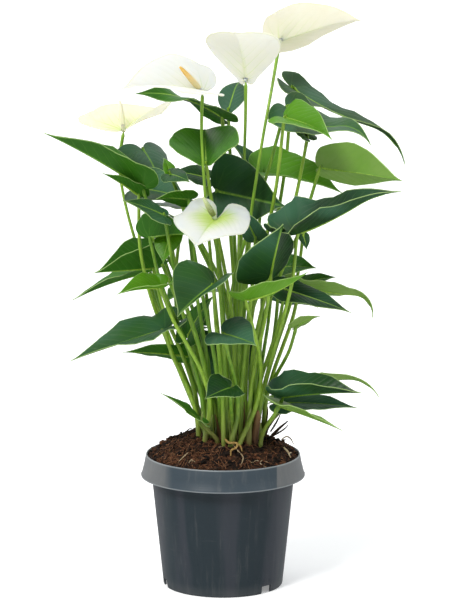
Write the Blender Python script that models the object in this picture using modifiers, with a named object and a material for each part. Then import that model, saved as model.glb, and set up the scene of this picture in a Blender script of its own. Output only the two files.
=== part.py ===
"""Potted flamingo flower: a clump of heart-shaped leaves with five white blooms in a nursery pot.

Metres, +Z up. The origin is the centre of the pot's foot, on the surface that the pot stands on.
The front of the plant faces -Y. Sizes and places in the tables are millimetres and degrees.
"""

from dataclasses import dataclass
import math

import bmesh
import bpy
import numpy as np
from mathutils import Matrix, Vector
from mathutils.bvhtree import BVHTree

MM = 0.001
GAP = 0.3
MERGE = 0.00002

# The pot, turned from its section
SECTORS = 32
BASE_RADIUS = 69.5
BODY_TOP_RADIUS = 83.0
BODY_TOP_HEIGHT = 129.0
LIP_RADIUS = 95.5
RIM_RADIUS = 89.5
POT_HEIGHT = 155.0
WALL = 1.7
FLOOR_RAISE = 8.0
REST_RADIUS = 29.0
NOTCH_SIZE = (11.0, 12.0, 7.0)
NOTCH_ANGLES = (46.0, 166.0, 286.0)
DRAIN_RADIUS = 4.0
DRAIN_RING = 50.0
DRAIN_COUNT = 6
LIP_BELOW_TOP = 25.5
SHOULDER_BELOW_TOP = 21.0
SLOT_BELOW_TOP = 5.0
SHOULDER_STEP = 2.6

# The soil, a mound that stands a little above the rim
SOIL_EDGE_HEIGHT = 151.5
SOIL_MOUND = 23.0
SOIL_TILT = 0.03
SOIL_RINGS = 4
SOIL_BUMP = 1.6

# The clump of stems
CLUMP_CENTRE = np.array((13.0, 0.0))
LOW_DRAW_IN = 0.60
HIGH_DRAW_IN = 0.22
TALL = 400.0
CLUMP_RADIUS = 45.0
ROOT_SPACING = 9.4
ROOT_DEPTH = 11.0
HOLE_TURN = 0.3
UPRIGHT = 3.0
LEAF_NECK = 0.35
BLOOM_NECK = 60.0
STEM_STATIONS = 6
STEM_BASE_RADIUS = 2.3
STEM_TOP_RADIUS = 1.4
WANTED_ROOM = 1.2
LEAST_ROOM = 0.5
CLEARING_ROUNDS = 4
SAMPLE_STEP = 4.0
HEIGHT_STEP = 4.0
TOP_HEIGHT = 660.0
HEIGHTS = np.arange(POT_HEIGHT, TOP_HEIGHT, HEIGHT_STEP)
LEAN_REACHES = (6.0, 12.0, 19.0, 27.0, 36.0, 46.0, 57.0, 69.0)
LEAN_TURNS = 12
OUTWARD = 0.35
RISE_SHARE = 0.45
LEAN_SHARE = 0.4

LARGE_LEAF = 90.0
BLADE_THICKNESS = 1.0
SPATHE_THICKNESS = 1.1
HUB_RADIUS = 3.2
HUB_BELOW = 3.0
NECK = 8.0
HUB_ABOVE = 8.0
SPADIX_RADII = (2.8, 3.4, 3.2, 2.7, 1.4)

# Half of a leaf's outline from the tip round to the stem, for a length and a width of one
LEAF_OUTLINE = (
    (1.00, 0.00), (0.90, 0.045), (0.76, 0.16), (0.56, 0.33), (0.32, 0.46),
    (0.06, 0.50), (-0.14, 0.43), (-0.25, 0.27), (-0.20, 0.10), (0.0, 0.0),
)
SPATHE_OUTLINE = (
    (1.00, 0.00), (0.93, 0.04), (0.84, 0.15), (0.68, 0.33), (0.44, 0.47),
    (0.15, 0.50), (-0.10, 0.43), (-0.20, 0.27), (-0.16, 0.10), (0.0, 0.0),
)


@dataclass(frozen=True)
class Blade:
    """A leaf or a spathe: where its stem meets it, where its tip is, and how it is bent.

    Lengths are millimetres. tone picks the green. roll turns the upper face to the blade's
    right-hand side, seen from the stem to the tip. fold lifts the halves from the midrib, and curl
    lets their edges down again. arch bends the midrib down from end to end, and hook bends its last
    part more. lobe lifts the lobes behind the stem, and lobes is their size. taper narrows the stem's
    end. twist turns the far end, and lean leads the stem sideways.
    """

    joint: tuple
    tip: tuple
    tone: str = "plain"
    roll: float = 0.0
    width: float = 0.66
    fold: float = 18.0
    curl: float = 30.0
    arch: float = 25.0
    hook: float = 0.0
    lobe: float = 20.0
    lobes: float = 1.0
    taper: float = 0.0
    twist: float = 0.0
    wave: float = 0.03
    lean: tuple = (0.0, 0.0)
    spathe: bool = False


@dataclass(frozen=True)
class Bloom:
    """A spathe with the point of its spadix and the way that its stem comes to it."""

    spathe: Blade
    spadix_tip: tuple
    arrival: tuple = (0.0, 0.0, 1.0)


# Leafy shoots. Each holds one leaf, or two leaves whose stems part at the soil.
SHOOTS = (
    (Blade((-92, -22, 470), (-202, -42, 535), roll=4, width=0.56, fold=52, curl=22, arch=8,
           lobes=0.4, taper=0.2, lean=(0, 18)),
     Blade((-96, -20, 460), (-136, -60, 492), roll=15, width=0.42, fold=40, curl=10, arch=10,
           lobes=0.7)),
    (Blade((-95, 38, 459), (-39, 2, 451), tone="dark", roll=35, width=0.9, fold=30, lobes=0.6),),
    (Blade((-94, 92, 498), (-74, 74, 458), tone="dark", roll=-5, width=1.9, fold=8, curl=35,
           arch=30, lobe=10, lobes=0.85),),
    (Blade((-60, -14, 484), (-68, 6, 500), tone="young", width=0.6, fold=30, lean=(5, 25)),
     Blade((-60, -22, 485), (-37, -44, 479), tone="dark", roll=30, width=0.8, fold=15, curl=40,
           lean=(5, 25))),
    (Blade((-20, 75, 467), (-60, 68, 475), tone="dark", roll=-40, width=0.75, fold=20),),
    (Blade((-1, 35, 543), (-101, -15, 576), roll=10, width=0.4, fold=10, curl=20, arch=40,
           lobes=0.5, twist=-85, lean=(0, 60)),
     Blade((6, 45, 548), (20, 80, 579), tone="dark", width=1.15, fold=15, arch=10, hook=40,
           lobe=40, lobes=0.2, taper=0.8, lean=(0, 60))),
    (Blade((-19, -45, 500), (-21, 30, 530), roll=-5, width=1.2, fold=45, curl=20, arch=15,
           lobe=30, lobes=1.1),),
    (Blade((-8, -2, 463), (72, -14, 447), tone="dark", roll=74, width=1.1, fold=15, arch=12,
           lobes=0.5),),
    (Blade((35, 90, 473), (7, 82, 510), tone="dark", roll=-35, width=0.8, fold=25, curl=20,
           arch=15),),
    (Blade((46, 45, 477), (138, 20, 457), tone="young", roll=16, width=0.86, fold=32, curl=20,
           arch=20),),
    (Blade((72, 5, 559), (167, -40, 521), tone="dark", roll=16, width=0.62, fold=14, arch=-100,
           hook=120, lobe=10, lobes=0.35),
     Blade((80, 78, 572), (212, 60, 484), tone="dark", roll=10, width=0.34, fold=20, curl=20,
           arch=-30, hook=75, lobes=0.5, twist=-30, lean=(10, 60))),
    (Blade((69, -50, 553), (122, -98, 534), tone="young", roll=25, width=0.72, fold=42, curl=40,
           arch=20, hook=20, lobe=80, lobes=0.3, lean=(-4, 25)),),
    (Blade((96, -15, 526), (75, -5, 546), width=1.3, fold=15, curl=20, arch=10),),
    (Blade((110, -30, 493), (202, -60, 483), tone="pale", roll=-62, width=0.9, fold=35, curl=20,
           arch=10, lobe=30, lobes=0.3, taper=0.4, lean=(0, 38)),),
    (Blade((84, -60, 422), (199, -95, 476), tone="dark", roll=12, width=0.55, fold=44, curl=20,
           arch=-20, hook=35, lobe=40, lobes=1.35, taper=-0.35, lean=(14, 0)),),
    (Blade((93, 42, 404), (97, 32, 389), tone="dark", width=0.8),
     Blade((64, 15, 371), (108, 0, 373), roll=35, width=0.85, fold=25, arch=20)),
    (Blade((37, -46, 415), (19, -58, 451), tone="dark", roll=20, width=0.85, fold=20, arch=15,
           lobes=0.6),),
    (Blade((-66, -66, 444), (-112, -96, 466), tone="dark", roll=-40, width=0.56, fold=15,
           arch=15, lobes=0.5),),
    (Blade((-83, -42, 415), (-35, -58, 421), roll=-30, width=1.2, fold=60, curl=20, arch=20,
           lobe=30, lobes=2.0, lean=(0, -20)),),
    (Blade((-60, -35, 416), (-68, -52, 387), tone="young", width=1.0, fold=20),
     Blade((-38, -16, 412), (-66, -36, 444), tone="dark", roll=-10, width=0.8, fold=20, arch=20)),
    (Blade((-39, -35, 458), (-76, -50, 461), roll=45, width=0.75, fold=20, arch=20),),
    (Blade((-81, 22, 369), (-148, -8, 369), width=1.0, fold=60, curl=10, arch=0, lobes=1.2,
           taper=-0.2),
     Blade((-85, 50, 360), (-175, 24, 331), roll=8, width=0.45, fold=35, curl=20, arch=15)),
    (Blade((-71, -70, 362), (-119, -105, 361), tone="young", roll=-15, width=0.7, fold=45,
           curl=20, arch=20, lobe=60, lobes=1.5, lean=(0, -20)),),
    (Blade((-11, -86, 369), (-51, -124, 339), tone="dark", roll=-8, width=1.45, fold=38, curl=10,
           arch=15, lobe=30),),
    (Blade((54, -73, 377), (67, -110, 442), tone="dark", roll=20, width=1.16, fold=30, curl=20,
           arch=5, lobes=0.9),),
    (Blade((26, -84, 350), (95, -106, 387), tone="young", roll=-25, width=0.55, fold=45, curl=50,
           arch=-30, lobe=30),),
    (Blade((89, 22, 349), (131, 15, 360), roll=35, width=0.6, fold=20),
     Blade((89, 8, 351), (172, -8, 316), tone="pale", roll=-35, width=0.36, fold=30, arch=-25,
           hook=110)),
    (Blade((71, -25, 352), (146, -50, 330), tone="dark", roll=32, width=0.44, fold=20, arch=10),),
    (Blade((57, 64, 333), (111, 54, 317), tone="dark", roll=-45, width=0.75, fold=20, arch=15,
           lobes=0.6),
     Blade((84, -30, 310), (111, -40, 324), tone="pale", roll=-30, width=0.7, fold=30)),
    (Blade((-67, -28, 306), (-174, -60, 276), tone="dark", roll=-12, width=0.52, fold=35, arch=5,
           lobe=30, taper=-0.25),),
    (Blade((-38, 25, 264), (-116, 2, 274), roll=45, width=0.45, fold=30, arch=10, lobes=0.6),),
    (Blade((-40, -2, 294), (-10, 8, 340), roll=20, width=0.7, fold=20),
     Blade((-27, 45, 298), (-69, 38, 309), roll=30, width=0.75, fold=20)),
    (Blade((-28, -45, 204), (-71, -65, 240), roll=-25, width=0.36, fold=30, arch=10),),
    (Blade((1, -80, 311), (38, -112, 304), tone="dark", roll=22, width=1.25, fold=25, arch=15,
           lobe=35),),
    (Blade((8, -62, 245), (-21, -90, 238), tone="dark", roll=-25, width=1.2, fold=30, arch=15,
           lobe=90, lobes=1.2),),
    (Blade((69, -42, 230), (158, -70, 241), tone="dark", roll=8, width=0.75, fold=50, curl=25,
           arch=10, lobe=50, lobes=1.2),
     Blade((63, -50, 222), (136, -78, 199), tone="pale", roll=-15, width=0.42, fold=30, arch=5)),
    (Blade((78, 22, 219), (181, 0, 221), tone="pale", roll=-25, width=0.35, fold=25, arch=50,
           hook=40),
     Blade((69, -14, 217), (154, -44, 218), tone="dark", roll=25, width=0.45, fold=20, arch=12,
           lobes=0.6)),
    (Blade((-45, 92, 430), (-95, 150, 415), tone="dark", width=0.72, arch=40),),
    (Blade((20, 112, 465), (35, 175, 440), roll=-10, width=0.72, arch=40),),
    (Blade((75, 85, 425), (120, 145, 400), tone="dark", width=0.72, arch=40),),
    (Blade((-20, 85, 330), (-70, 150, 305), roll=10, width=0.72, arch=40),),
    (Blade((45, 85, 345), (60, 162, 315), tone="dark", width=0.72, arch=40),),
    (Blade((0, 60, 268), (2, 100, 185), tone="dark", width=1.0, arch=20),),
)

BLOOMS = (
    Bloom(Blade((65, 40, 630), (160, 60, 653), roll=-66, width=0.72, fold=42, curl=15, arch=10,
                hook=25, lobe=45, lean=(34, -40), spathe=True),
          spadix_tip=(85, 85, 660), arrival=(0.0, 0.7, 0.7)),
    Bloom(Blade((26, 0, 590), (13, -55, 650), width=1.5, fold=24, curl=25, arch=45, lobe=30,
                lobes=0.4, taper=0.8, lean=(0, 50), spathe=True),
          spadix_tip=(22, 34, 630), arrival=(0.0, 0.6, 0.8)),
    Bloom(Blade((-23, -45, 582), (-114, -79, 589), roll=-30, width=0.8, fold=38, curl=20,
                arch=30, lobe=25, lean=(-16, -10), spathe=True),
          spadix_tip=(-48, -70, 613), arrival=(0.0, 0.3, 0.95)),
    Bloom(Blade((-117, 112, 518), (-76, 185, 536), roll=-9, width=1.5, fold=25, curl=15, arch=15,
                spathe=True),
          spadix_tip=(-122, 125, 552), arrival=(0.0, 0.3, 0.95)),
    Bloom(Blade((-8, -76, 441), (-31, -128, 418), roll=-8, width=1.42, fold=27, curl=50, arch=30,
                lobe=58, lobes=2.5, spathe=True),
          spadix_tip=(-22, -92, 469), arrival=(0.0, -0.2, 0.95)),
)


def finish(name, colour, roughness, metallic=0.0):
    """Return a plain material of one colour."""
    material = bpy.data.materials.new(name)
    material.use_nodes = True
    shader = material.node_tree.nodes["Principled BSDF"]
    shader.inputs["Base Color"].default_value = (*colour, 1.0)
    shader.inputs["Roughness"].default_value = roughness
    shader.inputs["Metallic"].default_value = metallic
    return material


def smooth_through(points, at):
    """Return positions on a smooth curve through points, at being 0 at the first and 1 at the last."""
    points = np.asarray(points, float)
    ends = np.vstack((2 * points[0] - points[1], points, 2 * points[-1] - points[-2]))
    place = np.clip(np.asarray(at, float), 0.0, 1.0) * (len(points) - 1)
    span = np.minimum(place.astype(int), len(points) - 2)
    t = (place - span)[:, None]
    a, b, c, d = ends[span], ends[span + 1], ends[span + 2], ends[span + 3]
    return b + 0.5 * t * (c - a + t * (2 * a - 5 * b + 4 * c - d + t * (3 * (b - c) + d - a)))


def run_of_arc(distance, start, turn):
    """Return the run and the rise of an arc of a given length, first angle and turn per unit length."""
    if abs(turn) < 1e-6:
        return distance * math.cos(start), distance * math.sin(start)
    end = start + turn * distance
    return (np.sin(end) - math.sin(start)) / turn, (math.cos(start) - np.cos(end)) / turn


def bent(blade, flat):
    """Bend flat points of a blade of length one. Columns: along the midrib, to the left, up."""
    along, across = flat[:, 0], flat[:, 1]
    half = 0.5 * blade.width
    arch, hook = -math.radians(blade.arch), -math.radians(blade.hook)
    lobe = math.radians(blade.lobe) / 0.25
    knee = 0.6
    near = np.clip(along, 0.0, knee)
    far = np.clip(along - knee, 0.0, None)
    behind = np.clip(along, None, 0.0)
    run, rise = run_of_arc(near, 0.0, arch)
    far_run, far_rise = run_of_arc(far, arch * knee, arch + hook / (1.0 - knee))
    back_run, back_rise = run_of_arc(behind, 0.0, lobe)
    run, rise = run + far_run + back_run, rise + far_rise + back_rise
    slope = arch * np.clip(along, 0.0, None) + hook * far / (1.0 - knee) + lobe * behind
    distance = np.abs(across)
    out, up = run_of_arc(distance, math.radians(blade.fold), -math.radians(blade.curl) / half)
    side = np.sign(across)
    up = up + blade.wave * (distance / half) ** 2 * np.sin(9.0 * along + 1.7 * side)
    far_end = np.clip((along - 0.4) / 0.4, 0.0, 1.0)
    turn = math.radians(blade.twist) * far_end**2 * (3.0 - 2.0 * far_end)
    out, up = side * out * np.cos(turn) - up * np.sin(turn), side * out * np.sin(turn) + up * np.cos(turn)
    return np.column_stack((run - np.sin(slope) * up, out, rise + np.cos(slope) * up))


def across_chord(chord, direction):
    """Return the unit part of direction that is square to chord."""
    square = direction - chord * direction.dot(chord)
    return square / np.linalg.norm(square)


def placed(blade, flat):
    """Bend flat points of a blade and set them between its joint and its tip, in millimetres."""
    local_tip = bent(blade, np.array(((1.0, 0.0),)))[0]
    joint, tip = np.array(blade.joint, float), np.array(blade.tip, float)
    size = np.linalg.norm(tip - joint) / np.linalg.norm(local_tip)
    ahead = local_tip / np.linalg.norm(local_tip)
    top = across_chord(ahead, np.array((0.0, 0.0, 1.0)))
    local_frame = np.array((ahead, np.cross(ahead, top), top))
    chord = (tip - joint) / np.linalg.norm(tip - joint)
    level = across_chord(chord, np.array((0.0, 0.0, 1.0)))
    roll = math.radians(blade.roll)
    face = math.cos(roll) * level + math.sin(roll) * np.cross(chord, level)
    frame = np.array((chord, np.cross(chord, face), face))
    return joint + size * bent(blade, flat) @ local_frame.T @ frame


def outline(blade, steps):
    """Return a blade's flat outline from the left of the stem round the tip to the right."""
    half = smooth_through(SPATHE_OUTLINE if blade.spathe else LEAF_OUTLINE, np.linspace(0.0, 1.0, steps + 1))
    half[:, 0] = np.where(half[:, 0] < 0.0, blade.lobes * half[:, 0], half[:, 0])
    half[:, 1] *= blade.width * (1.0 - blade.taper * (1.0 - np.clip(half[:, 0], 0.0, 1.0)) ** 2)
    return np.vstack((half[-2::-1], half[1:-1] * (1.0, -1.0)))


def chord_length(blade):
    """Return the distance from a blade's joint to its tip."""
    return float(np.linalg.norm(np.subtract(blade.tip, blade.joint)))


def divisions(blade):
    """Return how many steps half of a blade's edge has, and how many rings its surface."""
    if blade.spathe:
        return 6, 3
    return (6, 2) if chord_length(blade) > LARGE_LEAF else (5, 2)


def blade_points(blade, steps, rings):
    """Return a blade's points in space: the joint, then each ring from the middle outwards."""
    edge = outline(blade, steps)
    rays = [np.zeros((1, 2))] + [edge * (ring / rings) for ring in range(1, rings + 1)]
    return placed(blade, np.vstack(rays)), len(edge)


def new_object(name, mesh, material):
    """Put a mesh in the scene as an object with one material."""
    part = bpy.data.objects.new(name, mesh)
    bpy.context.scene.collection.objects.link(part)
    mesh.materials.clear()
    mesh.materials.append(material)
    return part


def evaluated_mesh(part):
    """Return a copy of an object's mesh with its modifiers, in the scene's own axes, and remove it."""
    bpy.context.view_layer.update()
    mesh = bpy.data.meshes.new_from_object(part.evaluated_get(bpy.context.evaluated_depsgraph_get()))
    mesh.transform(part.matrix_world)
    bpy.data.objects.remove(part)
    return mesh


def blade_solid(name, blade, material):
    """Model a blade as a sheet of triangles round its joint, and give it its thickness."""
    steps, rings = divisions(blade)
    points, count = blade_points(blade, steps, rings)
    surface = bmesh.new()
    corners = [surface.verts.new(Vector(point) * MM) for point in points]
    for step in range(count - 1):
        surface.faces.new((corners[0], corners[1 + step], corners[2 + step]))
        for ring in range(1, rings):
            inner, outer = 1 + (ring - 1) * count + step, 1 + ring * count + step
            surface.faces.new((corners[inner], corners[outer], corners[outer + 1]))
            surface.faces.new((corners[inner], corners[outer + 1], corners[inner + 1]))
    mesh = bpy.data.meshes.new(name)
    surface.to_mesh(mesh)
    surface.free()
    part = new_object(name, mesh, material)
    wall = part.modifiers.new("Thickness", "SOLIDIFY")
    wall.thickness = (SPATHE_THICKNESS if blade.spathe else BLADE_THICKNESS) * MM
    wall.offset = 0.0
    return new_object(name, evaluated_mesh(part), material)


def tube(name, points, radii, material, sides_level=1):
    """Model a round rod along points with a radius at each, as a mesh with closed ends."""
    curve = bpy.data.curves.new(name, "CURVE")
    curve.dimensions = "3D"
    curve.bevel_depth = MM
    curve.bevel_resolution = sides_level
    curve.use_fill_caps = True
    line = curve.splines.new("POLY")
    line.points.add(len(points) - 1)
    for vertex, point, radius in zip(line.points, points, radii):
        vertex.co = (*(Vector(point) * MM), 1.0)
        vertex.radius = radius
    part = bpy.data.objects.new(name, curve)
    bpy.context.scene.collection.objects.link(part)
    mesh = evaluated_mesh(part)
    cleaned = bmesh.new()
    cleaned.from_mesh(mesh)
    bmesh.ops.remove_doubles(cleaned, verts=cleaned.verts, dist=MERGE)
    bmesh.ops.recalc_face_normals(cleaned, faces=cleaned.faces)
    cleaned.to_mesh(mesh)
    cleaned.free()
    return new_object(name, mesh, material)


def is_closed(mesh):
    """Tell whether every edge of a mesh has two faces."""
    check = bmesh.new()
    check.from_mesh(mesh)
    closed = len(check.faces) > 0 and all(edge.is_manifold for edge in check.edges)
    check.free()
    return closed


def combined(name, body, others, material, operation="UNION"):
    """Join others to body, or cut them from it, and remove them."""
    group = bpy.data.collections.new(name + "_tools")
    for other in others:
        group.objects.link(other)
    for solver in ("EXACT", "MANIFOLD"):
        attempt = new_object(name, body.data.copy(), material)
        boolean = attempt.modifiers.new("Combine", "BOOLEAN")
        boolean.operation = operation
        boolean.operand_type = "COLLECTION"
        boolean.collection = group
        boolean.solver = solver
        mesh = evaluated_mesh(attempt)
        if is_closed(mesh):
            break
    for other in (body, *others):
        bpy.data.objects.remove(other)
    bpy.data.collections.remove(group)
    return new_object(name, mesh, material)


def soil_height(x, y):
    """Return the height of the soil's surface in millimetres."""
    reach = min(math.hypot(x, y) / (RIM_RADIUS - WALL), 1.0)
    bumps = math.sin(0.13 * x + 1.0) * math.cos(0.11 * y) + 0.6 * math.sin(0.29 * x - 0.23 * y)
    calm = 1.0 - reach ** 4
    return SOIL_EDGE_HEIGHT + SOIL_MOUND * (1.0 - reach ** 3) + SOIL_TILT * y * calm + SOIL_BUMP * bumps * calm


def turned(name, section, material):
    """Turn a closed section of radii and heights round the pot's axis."""
    profile = bmesh.new()
    corners = [profile.verts.new((radius * MM, 0.0, height * MM)) for radius, height in section]
    for first, second in zip(corners, corners[1:]):
        profile.edges.new((first, second))
    if section[0][0] > 0.0:
        profile.edges.new((corners[-1], corners[0]))
    mesh = bpy.data.meshes.new(name)
    profile.to_mesh(mesh)
    profile.free()
    part = new_object(name, mesh, material)
    screw = part.modifiers.new("Turn", "SCREW")
    screw.steps = screw.render_steps = SECTORS
    screw.use_merge_vertices = True
    screw.merge_threshold = MERGE
    return new_object(name, evaluated_mesh(part), material)


def wall_radius(height):
    """Return the outer radius of the pot's body at a height below its shoulder."""
    return BASE_RADIUS + (BODY_TOP_RADIUS - BASE_RADIUS) * height / BODY_TOP_HEIGHT


def pot(material):
    """Model the pot with its folded rim, raised floor, foot notches and drain holes."""
    top, slot_top = POT_HEIGHT, POT_HEIGHT - SLOT_BELOW_TOP
    lip, shoulder = top - LIP_BELOW_TOP, top - SHOULDER_BELOW_TOP
    outer = RIM_RADIUS - SHOULDER_STEP
    section = (
        (0.0, WALL),
        (REST_RADIUS - WALL, WALL),
        (REST_RADIUS + 2.0, FLOOR_RAISE + WALL),
        (wall_radius(FLOOR_RAISE) - WALL, FLOOR_RAISE + WALL),
        (BODY_TOP_RADIUS - WALL, BODY_TOP_HEIGHT + 0.6),
        (outer - WALL, shoulder + 0.4),
        (RIM_RADIUS - WALL, top - 1.0),
        (RIM_RADIUS - WALL + 0.6, top),
        (RIM_RADIUS, top),
        (LIP_RADIUS, lip),
        (LIP_RADIUS - WALL, lip),
        (RIM_RADIUS - 0.5, slot_top),
        (RIM_RADIUS - 1.1, slot_top),
        (outer, shoulder),
        (BODY_TOP_RADIUS, BODY_TOP_HEIGHT),
        (BASE_RADIUS + 0.2, 2.0),
        (BASE_RADIUS - 0.8, 0.0),
        (BASE_RADIUS - 2.4, 0.0),
        (BASE_RADIUS - 2.0, FLOOR_RAISE),
        (REST_RADIUS + 3.0, FLOOR_RAISE),
        (REST_RADIUS, 0.0),
        (0.0, 0.0),
    )
    body = turned("pot_body", section, material)
    cutters = []
    for angle in NOTCH_ANGLES:
        bpy.ops.mesh.primitive_cube_add(size=1.0)
        notch = bpy.context.object
        turn = Matrix.Rotation(math.radians(angle), 4, "Z")
        place = Matrix.Translation((0.0, -(BASE_RADIUS - 1.0) * MM, 0.5 * NOTCH_SIZE[2] * MM - MM))
        notch.data.transform(turn @ place @ Matrix.Diagonal((*(size * MM for size in NOTCH_SIZE), 1.0)))
        cutters.append(notch)
    for number in range(DRAIN_COUNT):
        angle = math.tau * (number + 0.5) / DRAIN_COUNT
        bpy.ops.mesh.primitive_cylinder_add(vertices=8, radius=DRAIN_RADIUS * MM, depth=6 * WALL * MM)
        hole = bpy.context.object
        hole.data.transform(Matrix.Translation((DRAIN_RING * MM * math.cos(angle),
                                                DRAIN_RING * MM * math.sin(angle), FLOOR_RAISE * MM)))
        cutters.append(hole)
    return combined("pot", body, cutters, material, "DIFFERENCE")


def soil(material, roots):
    """Model the soil in the pot, with its mound and a plain hole for each stem."""
    clear = GAP + 0.1
    edge = RIM_RADIUS - WALL - clear - 0.4
    section = [
        (0.0, WALL + GAP),
        (REST_RADIUS - WALL - clear, WALL + GAP),
        (REST_RADIUS + 2.0 - clear, FLOOR_RAISE + WALL + GAP),
        (wall_radius(FLOOR_RAISE) - WALL - clear, FLOOR_RAISE + WALL + GAP),
        (BODY_TOP_RADIUS - WALL - clear, BODY_TOP_HEIGHT + 0.6),
        (RIM_RADIUS - SHOULDER_STEP - WALL - clear, POT_HEIGHT - SHOULDER_BELOW_TOP + 0.4),
        (edge, SOIL_EDGE_HEIGHT),
    ]
    section += [(edge * (1.0 - ring / SOIL_RINGS), SOIL_EDGE_HEIGHT + ring)
                for ring in range(1, SOIL_RINGS + 1)]
    body = turned("soil_body", section[::-1], material)
    for vertex in body.data.vertices:
        x, y, z = (value / MM for value in vertex.co)
        if z > SOIL_EDGE_HEIGHT + 0.5:
            vertex.co.z = soil_height(x, y) * MM
    holes = []
    for root in roots:
        top = soil_height(*root)
        radius = (STEM_BASE_RADIUS + GAP) / math.cos(math.pi / 6)
        bpy.ops.mesh.primitive_cylinder_add(vertices=6, radius=radius * MM, depth=4 * ROOT_DEPTH * MM,
                                            rotation=(0.0, 0.0, HOLE_TURN))
        bpy.ops.object.transform_apply()
        hole = bpy.context.object
        floor = top - ROOT_DEPTH - GAP
        hole.data.transform(Matrix.Translation((root[0] * MM, root[1] * MM, (floor + 2 * ROOT_DEPTH) * MM)))
        holes.append(hole)
    return combined("soil", body, holes, material, "DIFFERENCE")


def root_place(joint):
    """Return where a stem would leave the soil: nearer the clump's edge for a lower leaf."""
    share = min(max((joint[2] - POT_HEIGHT) / TALL, 0.0), 1.0)
    draw_in = LOW_DRAW_IN + (HIGH_DRAW_IN - LOW_DRAW_IN) * share
    return CLUMP_CENTRE + draw_in * (np.array(joint[:2], float) - CLUMP_CENTRE)


def spread_roots(wanted):
    """Push places in the clump apart until stems have room between them."""
    roots = np.array(wanted, float)
    for _ in range(200):
        for first in range(len(roots)):
            for second in range(first):
                apart = roots[first] - roots[second]
                distance = np.linalg.norm(apart)
                if distance < ROOT_SPACING:
                    push = apart / max(distance, 0.01) * (ROOT_SPACING - distance) * 0.25
                    roots[first] += push
                    roots[second] -= push
        for root in roots:
            offset = root - CLUMP_CENTRE
            distance = np.linalg.norm(offset)
            if distance > CLUMP_RADIUS:
                root -= offset / distance * (distance - CLUMP_RADIUS)
    return np.round(roots, 1)


def route_of(root, joint, arrival, handle, lean):
    """Return a stem's stations on a curve: upright at the soil, led aside by lean, then to its joint."""
    foot = np.array((root[0], root[1], soil_height(*root)))
    rise = joint[2] - foot[2]
    aside = np.array((lean[0], lean[1], 0.0))
    handles = np.array((foot, foot + aside + (0.0, 0.0, RISE_SHARE * rise),
                        joint - handle * arrival + LEAN_SHARE * aside, joint))
    t = np.linspace(0.0, 1.0, STEM_STATIONS)[:, None]
    return ((1 - t) ** 3 * handles[0] + 3 * (1 - t) ** 2 * t * handles[1]
            + 3 * (1 - t) * t ** 2 * handles[2] + t ** 3 * handles[3])


def leans():
    """Give the ways that a stem may lean aside, the least first."""
    yield 0.0, 0.0
    ways = [(math.cos(math.tau * turn / LEAN_TURNS), math.sin(math.tau * turn / LEAN_TURNS))
            for turn in range(LEAN_TURNS)]
    for reach in LEAN_REACHES:
        for way in sorted(ways, key=lambda way: round(abs(way[0]), 3)):
            yield reach * way[0], reach * way[1]


def at_heights(route):
    """Return a stem's places at each of the common heights, not a number where it doesn't reach."""
    places = np.column_stack([np.interp(HEIGHTS, route[:, 2], route[:, axis]) for axis in (0, 1)])
    places[(HEIGHTS < route[0, 2]) | (HEIGHTS > route[-1, 2] + HEIGHT_STEP)] = np.nan
    return places


def room_round(route, shoot, others, surfaces, owner):
    """Return the room between a stem and other stems, given at the common heights, and the blades."""
    room = WANTED_ROOM
    line = at_heights(route)
    for other in others:
        apart = np.linalg.norm(line - other, axis=1)
        if not np.all(np.isnan(apart)):
            room = min(room, float(np.nanmin(apart)) - 2 * STEM_BASE_RADIUS)
    length = np.linalg.norm(np.diff(route, axis=0), axis=1)
    at = np.concatenate(([0.0], np.cumsum(length)))
    places = np.arange(0.0, at[-1], SAMPLE_STEP)
    points = np.column_stack([np.interp(places, at, route[:, axis]) for axis in range(3)])
    reach = STEM_BASE_RADIUS + WANTED_ROOM
    for point in points:
        for _, _, face, distance in surfaces.find_nearest_range(Vector(point), reach):
            if owner[face] != shoot:
                room = min(room, distance - STEM_BASE_RADIUS - 0.5 * BLADE_THICKNESS)
    return room


def clear_routes(stems, blades):
    """Choose each stem's route, leaning aside as little as brings it clear of what it would cross.

    stems holds each stem's shoot, root, joint, arrival, handle and lean, and blades its own blade. The
    stems are taken from the lowest up, and those that still have little room are taken again.
    """
    corners, faces, owner = [], [], []
    for (shoot, *_), blade in zip(stems, blades):
        steps, rings = divisions(blade)
        points, count = blade_points(blade, steps, rings)
        first = len(corners)
        corners.extend(points)
        for ring in range(rings):
            for step in range(count - 1):
                outer = first + 1 + ring * count + step
                inner = outer - count if ring else first
                faces.append((inner, outer, outer + 1))
                owner.append(shoot)
                if ring:
                    faces.append((inner, outer + 1, inner + 1))
                    owner.append(shoot)
    surfaces = BVHTree.FromPolygons(corners, faces)
    lines, routes, rooms = {}, {}, {}
    order = sorted(range(len(stems)), key=lambda number: stems[number][2][2])
    for _ in range(CLEARING_ROUNDS):
        for own in order:
            if rooms.get(own, -math.inf) >= LEAST_ROOM:
                continue
            shoot, root, joint, arrival, handle, lean = stems[own]
            others = [line for other, line in lines.items() if stems[other][0] != shoot]
            best_room = -math.inf
            for aside in leans():
                route = route_of(root, joint, arrival, handle, np.add(lean, aside))
                room = room_round(route, shoot, others, surfaces, owner)
                if room > best_room:
                    routes[own], best_room = route, room
                if room >= WANTED_ROOM:
                    break
            lines[own] = at_heights(routes[own])
        for own in order:
            others = [line for other, line in lines.items() if stems[other][0] != stems[own][0]]
            rooms[own] = room_round(routes[own], stems[own][0], others, surfaces, owner)
    return [routes[own] for own in range(len(stems))]


def stem_points(route):
    """Return a stem's points from its foot in the soil, upright below the surface, to its joint."""
    foot = route[0]
    return np.vstack((foot - (0.0, 0.0, ROOT_DEPTH), foot + (0.0, 0.0, UPRIGHT), route[1:]))


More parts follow.
